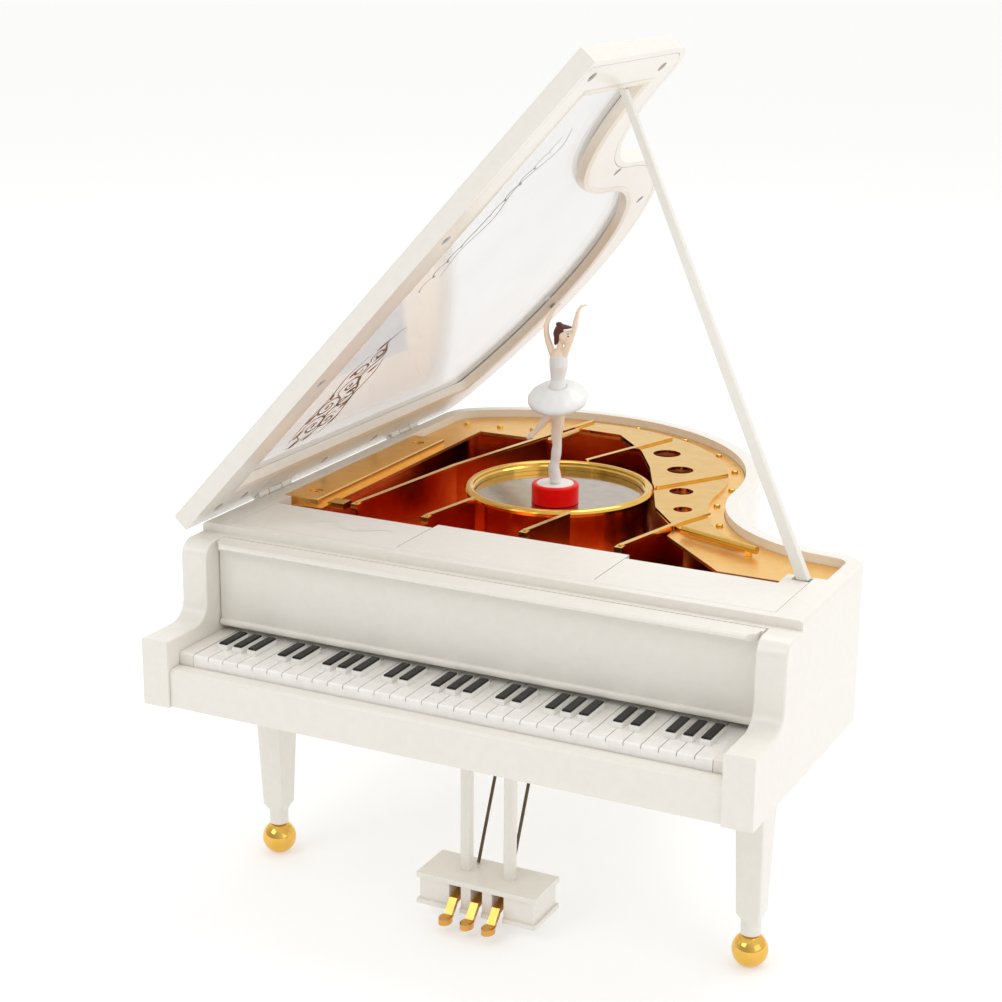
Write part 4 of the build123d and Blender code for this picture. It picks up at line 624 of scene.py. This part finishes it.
# a plain flourish of waves and loops, no letters
WAVE_STEPS, WAVE_LOOPS = 180, 10
WAVE_START, WAVE_RUN = (89.7, 56.7), (61.7, 6.1)
mesh = bmesh.new()
wave = []
for step in range(WAVE_STEPS + 1):
    share = step / WAVE_STEPS
    turn = 2 * math.pi * WAVE_LOOPS * share
    swing = 1.5 * math.sin(turn) * (0.55 + 0.45 * math.sin(math.pi * 3.3 * share))
    wave.append((
        WAVE_START[0] + WAVE_RUN[0] * share + 1.3 * math.cos(turn),
        WAVE_START[1] + WAVE_RUN[1] * share + swing,
    ))
ribbon(mesh, wave, 0.75)
ribbon(mesh, curve((96, 63.5), (108, 60.8), (120, 64.8), (134, 61.2), (147, 68.5), (156, 64)), 0.6)
add_piece("window_flourish", mesh, PRINT_GREY, "lid", smooth=False)

# ================================================================ sloped bezel round the window
# the lid's plan: the tail's circle, the bentside's hollow, half the width and the spine's corner
TAIL, TAIL_RADIUS = (-38.0, 134.0), math.hypot(124.0, 4.0) - 46.3
BENT, BENT_RADIUS = (86.0, 138.0), 46.3
HALF, CORNER_RADIUS = 92.5, 16.0


def arc(centre, radius, start, end, steps):
    """Points of an arc, in degrees."""
    for step in range(steps + 1):
        turn = math.radians(start + (end - start) * step / steps)
        yield (centre[0] + radius * math.cos(turn), centre[1] + radius * math.sin(turn))


def angle_to(start, end):
    return math.degrees(math.atan2(end[1] - start[1], end[0] - start[0]))


def outline(inset, front_y):
    """The window's outline in plan: straight front and spine, tail curve and hollow bentside."""
    corner_x = -HALF + CORNER_RADIUS
    reach = TAIL_RADIUS - CORNER_RADIUS
    corner = (corner_x, TAIL[1] + math.sqrt(reach ** 2 - (TAIL[0] - corner_x) ** 2))
    to_tail, to_bent = angle_to(TAIL, corner), angle_to(TAIL, BENT)
    right = HALF - inset
    bent_start = -90 - math.degrees(math.asin((BENT[0] - right) / (BENT_RADIUS + inset)))
    points = [(-HALF + inset, front_y), (right, front_y)]
    points += arc(BENT, BENT_RADIUS + inset, bent_start, to_bent - 180, 24)
    points += arc(TAIL, TAIL_RADIUS - inset, to_bent, to_tail, 28)
    points += arc(corner, CORNER_RADIUS - inset, to_tail, 180, 8)
    return points


# inset from the case's side, distance from its front, and height over the lid's underside
BEZEL_STEPS = (
    (9.2, 37.2, -0.05), (10.2, 38.2, -0.15), (11.6, 39.6, 0.3), (12.3, 40.3, 2.2), (12.3, 40.3, 3.0),
)
mesh = bmesh.new()
rings = [
    [mesh.verts.new(on_lid(x - LID_HINGE_X, y, height)) for x, y in outline(inset, front_y)]
    for inset, front_y, height in BEZEL_STEPS
]
for near, far in zip(rings[:-1], rings[1:]):
    for index in range(len(near)):
        after = (index + 1) % len(near)
        mesh.faces.new((near[index], near[after], far[after], far[index]))
# the bezel's darker tan is painted shade on the sloped bevel
add_piece("window_bezel", mesh, BEZEL_PAINTED_SHADE, "lid", smooth=False)

# ================================================================ faint swirl raised on the top panel
mesh = bmesh.new()
for lift, points in enumerate((
    scroll((-48.0, 49.0), 4.6, 180, 1.3, 1), scroll((-56.0, 47.2), 3.6, 0, 1.2, -1),
    curve((-66, 45), (-58, 50.5), (-50, 45.2), (-40, 50.0), (-36, 47.0)),
)):
    ribbon(mesh, points, 0.8, PANEL_TOP + 0.02 * (1 + lift), place)
add_piece("panel_swirl", mesh, LOOKS["ivory_plastic"], "case", smooth=False)

# ================================================================ studio
floor_mesh = bmesh.new()
bmesh.ops.create_grid(floor_mesh, x_segments=24, y_segments=24, size=9.0)
floor_data = bpy.data.meshes.new("floor")
floor_mesh.to_mesh(floor_data)
floor_mesh.free()
# a pale paper floor with an even glow of its own, which keeps the backdrop white and the shadows soft
PAPER = {"Emission_Color": (1, 1, 1, 1), "Emission_Strength": 0.42}
floor_data.materials.append(
    plastic("floor_paper", (0.61, 0.61, 0.61), (0.64, 0.64, 0.64), (0.75, 0.9), 0.0, 400, 0.00002, **PAPER))
floor = bpy.data.objects.new("floor", floor_data)
bpy.context.scene.collection.objects.link(floor)

FRONT = (-0.35, -0.93, 0.1)
DIMMING_START, DIMMING_END = 0.2, 0.95
SKY_GLOW, FRONT_GLOW = 0.9, 0.52
world = bpy.data.worlds.new("studio")
world.use_nodes = True
sky = world.node_tree
background = sky.nodes["Background"]
looking = sky.nodes.new("ShaderNodeTexCoord").outputs["Generated"]
from_front = sky.nodes.new("ShaderNodeVectorMath")
from_front.operation = "DOT_PRODUCT"
from_front.inputs[1].default_value = FRONT
sky.links.new(looking, from_front.inputs[0])
# white all round, dimmed towards the front, so that the front faces keep their shading
dimmer = sky.nodes.new("ShaderNodeMapRange")
for socket, value in enumerate((DIMMING_START, DIMMING_END, SKY_GLOW, FRONT_GLOW), 1):
    dimmer.inputs[socket].default_value = value
sky.links.new(from_front.outputs["Value"], dimmer.inputs[0])
sky.links.new(dimmer.outputs[0], background.inputs["Strength"])
background.inputs["Color"].default_value = (1.0, 0.995, 0.985, 1)
bpy.context.scene.world = world
bpy.context.scene.view_settings.view_transform = "Standard"


def soft_light(name, at, size, power, tint=(1, 1, 1), target=(0, 0, 0.09)):
    lamp = bpy.data.lights.new(name, "AREA")
    lamp.shape = "RECTANGLE"
    lamp.size, lamp.size_y = size
    lamp.energy = power
    lamp.color = tint
    holder = bpy.data.objects.new(name, lamp)
    holder.location = at
    holder.rotation_euler = (Vector(target) - Vector(at)).to_track_quat("-Z", "Y").to_euler()
    bpy.context.scene.collection.objects.link(holder)


soft_light("key", (-0.45, -0.85, 0.85), (0.6, 0.6), 2.4, (1.0, 0.985, 0.96))
soft_light("top", (0.1, 0.35, 1.1), (0.9, 0.7), 4.4)
soft_light("fill", (1.1, -0.35, 0.5), (0.8, 0.6), 0.9, (0.97, 0.985, 1.0))

# ================================================================ camera
AZIMUTH, ELEVATION, ROLL = (math.radians(angle) for angle in (26.5124, 16.4934, -0.48905))
level_reach = math.cos(ELEVATION)
back = Vector((math.sin(AZIMUTH) * level_reach, -math.cos(AZIMUTH) * level_reach, math.sin(ELEVATION)))
level = (-back).cross(Vector((0, 0, 1))).normalized()
down = (-back).cross(level)
right = level * math.cos(ROLL) + down * math.sin(ROLL)
up = level * math.sin(ROLL) - down * math.cos(ROLL)

camera_data = bpy.data.cameras.new("camera")
camera_data.sensor_width = 36.0
camera_data.lens = 74.459
camera = bpy.data.objects.new("camera", camera_data)
turn = Matrix((right, up, back)).transposed().to_4x4()
camera.matrix_world = Matrix.Translation(place(246.5, -450.9, 288.8)) @ turn
bpy.context.scene.collection.objects.link(camera)
bpy.context.scene.camera = camera
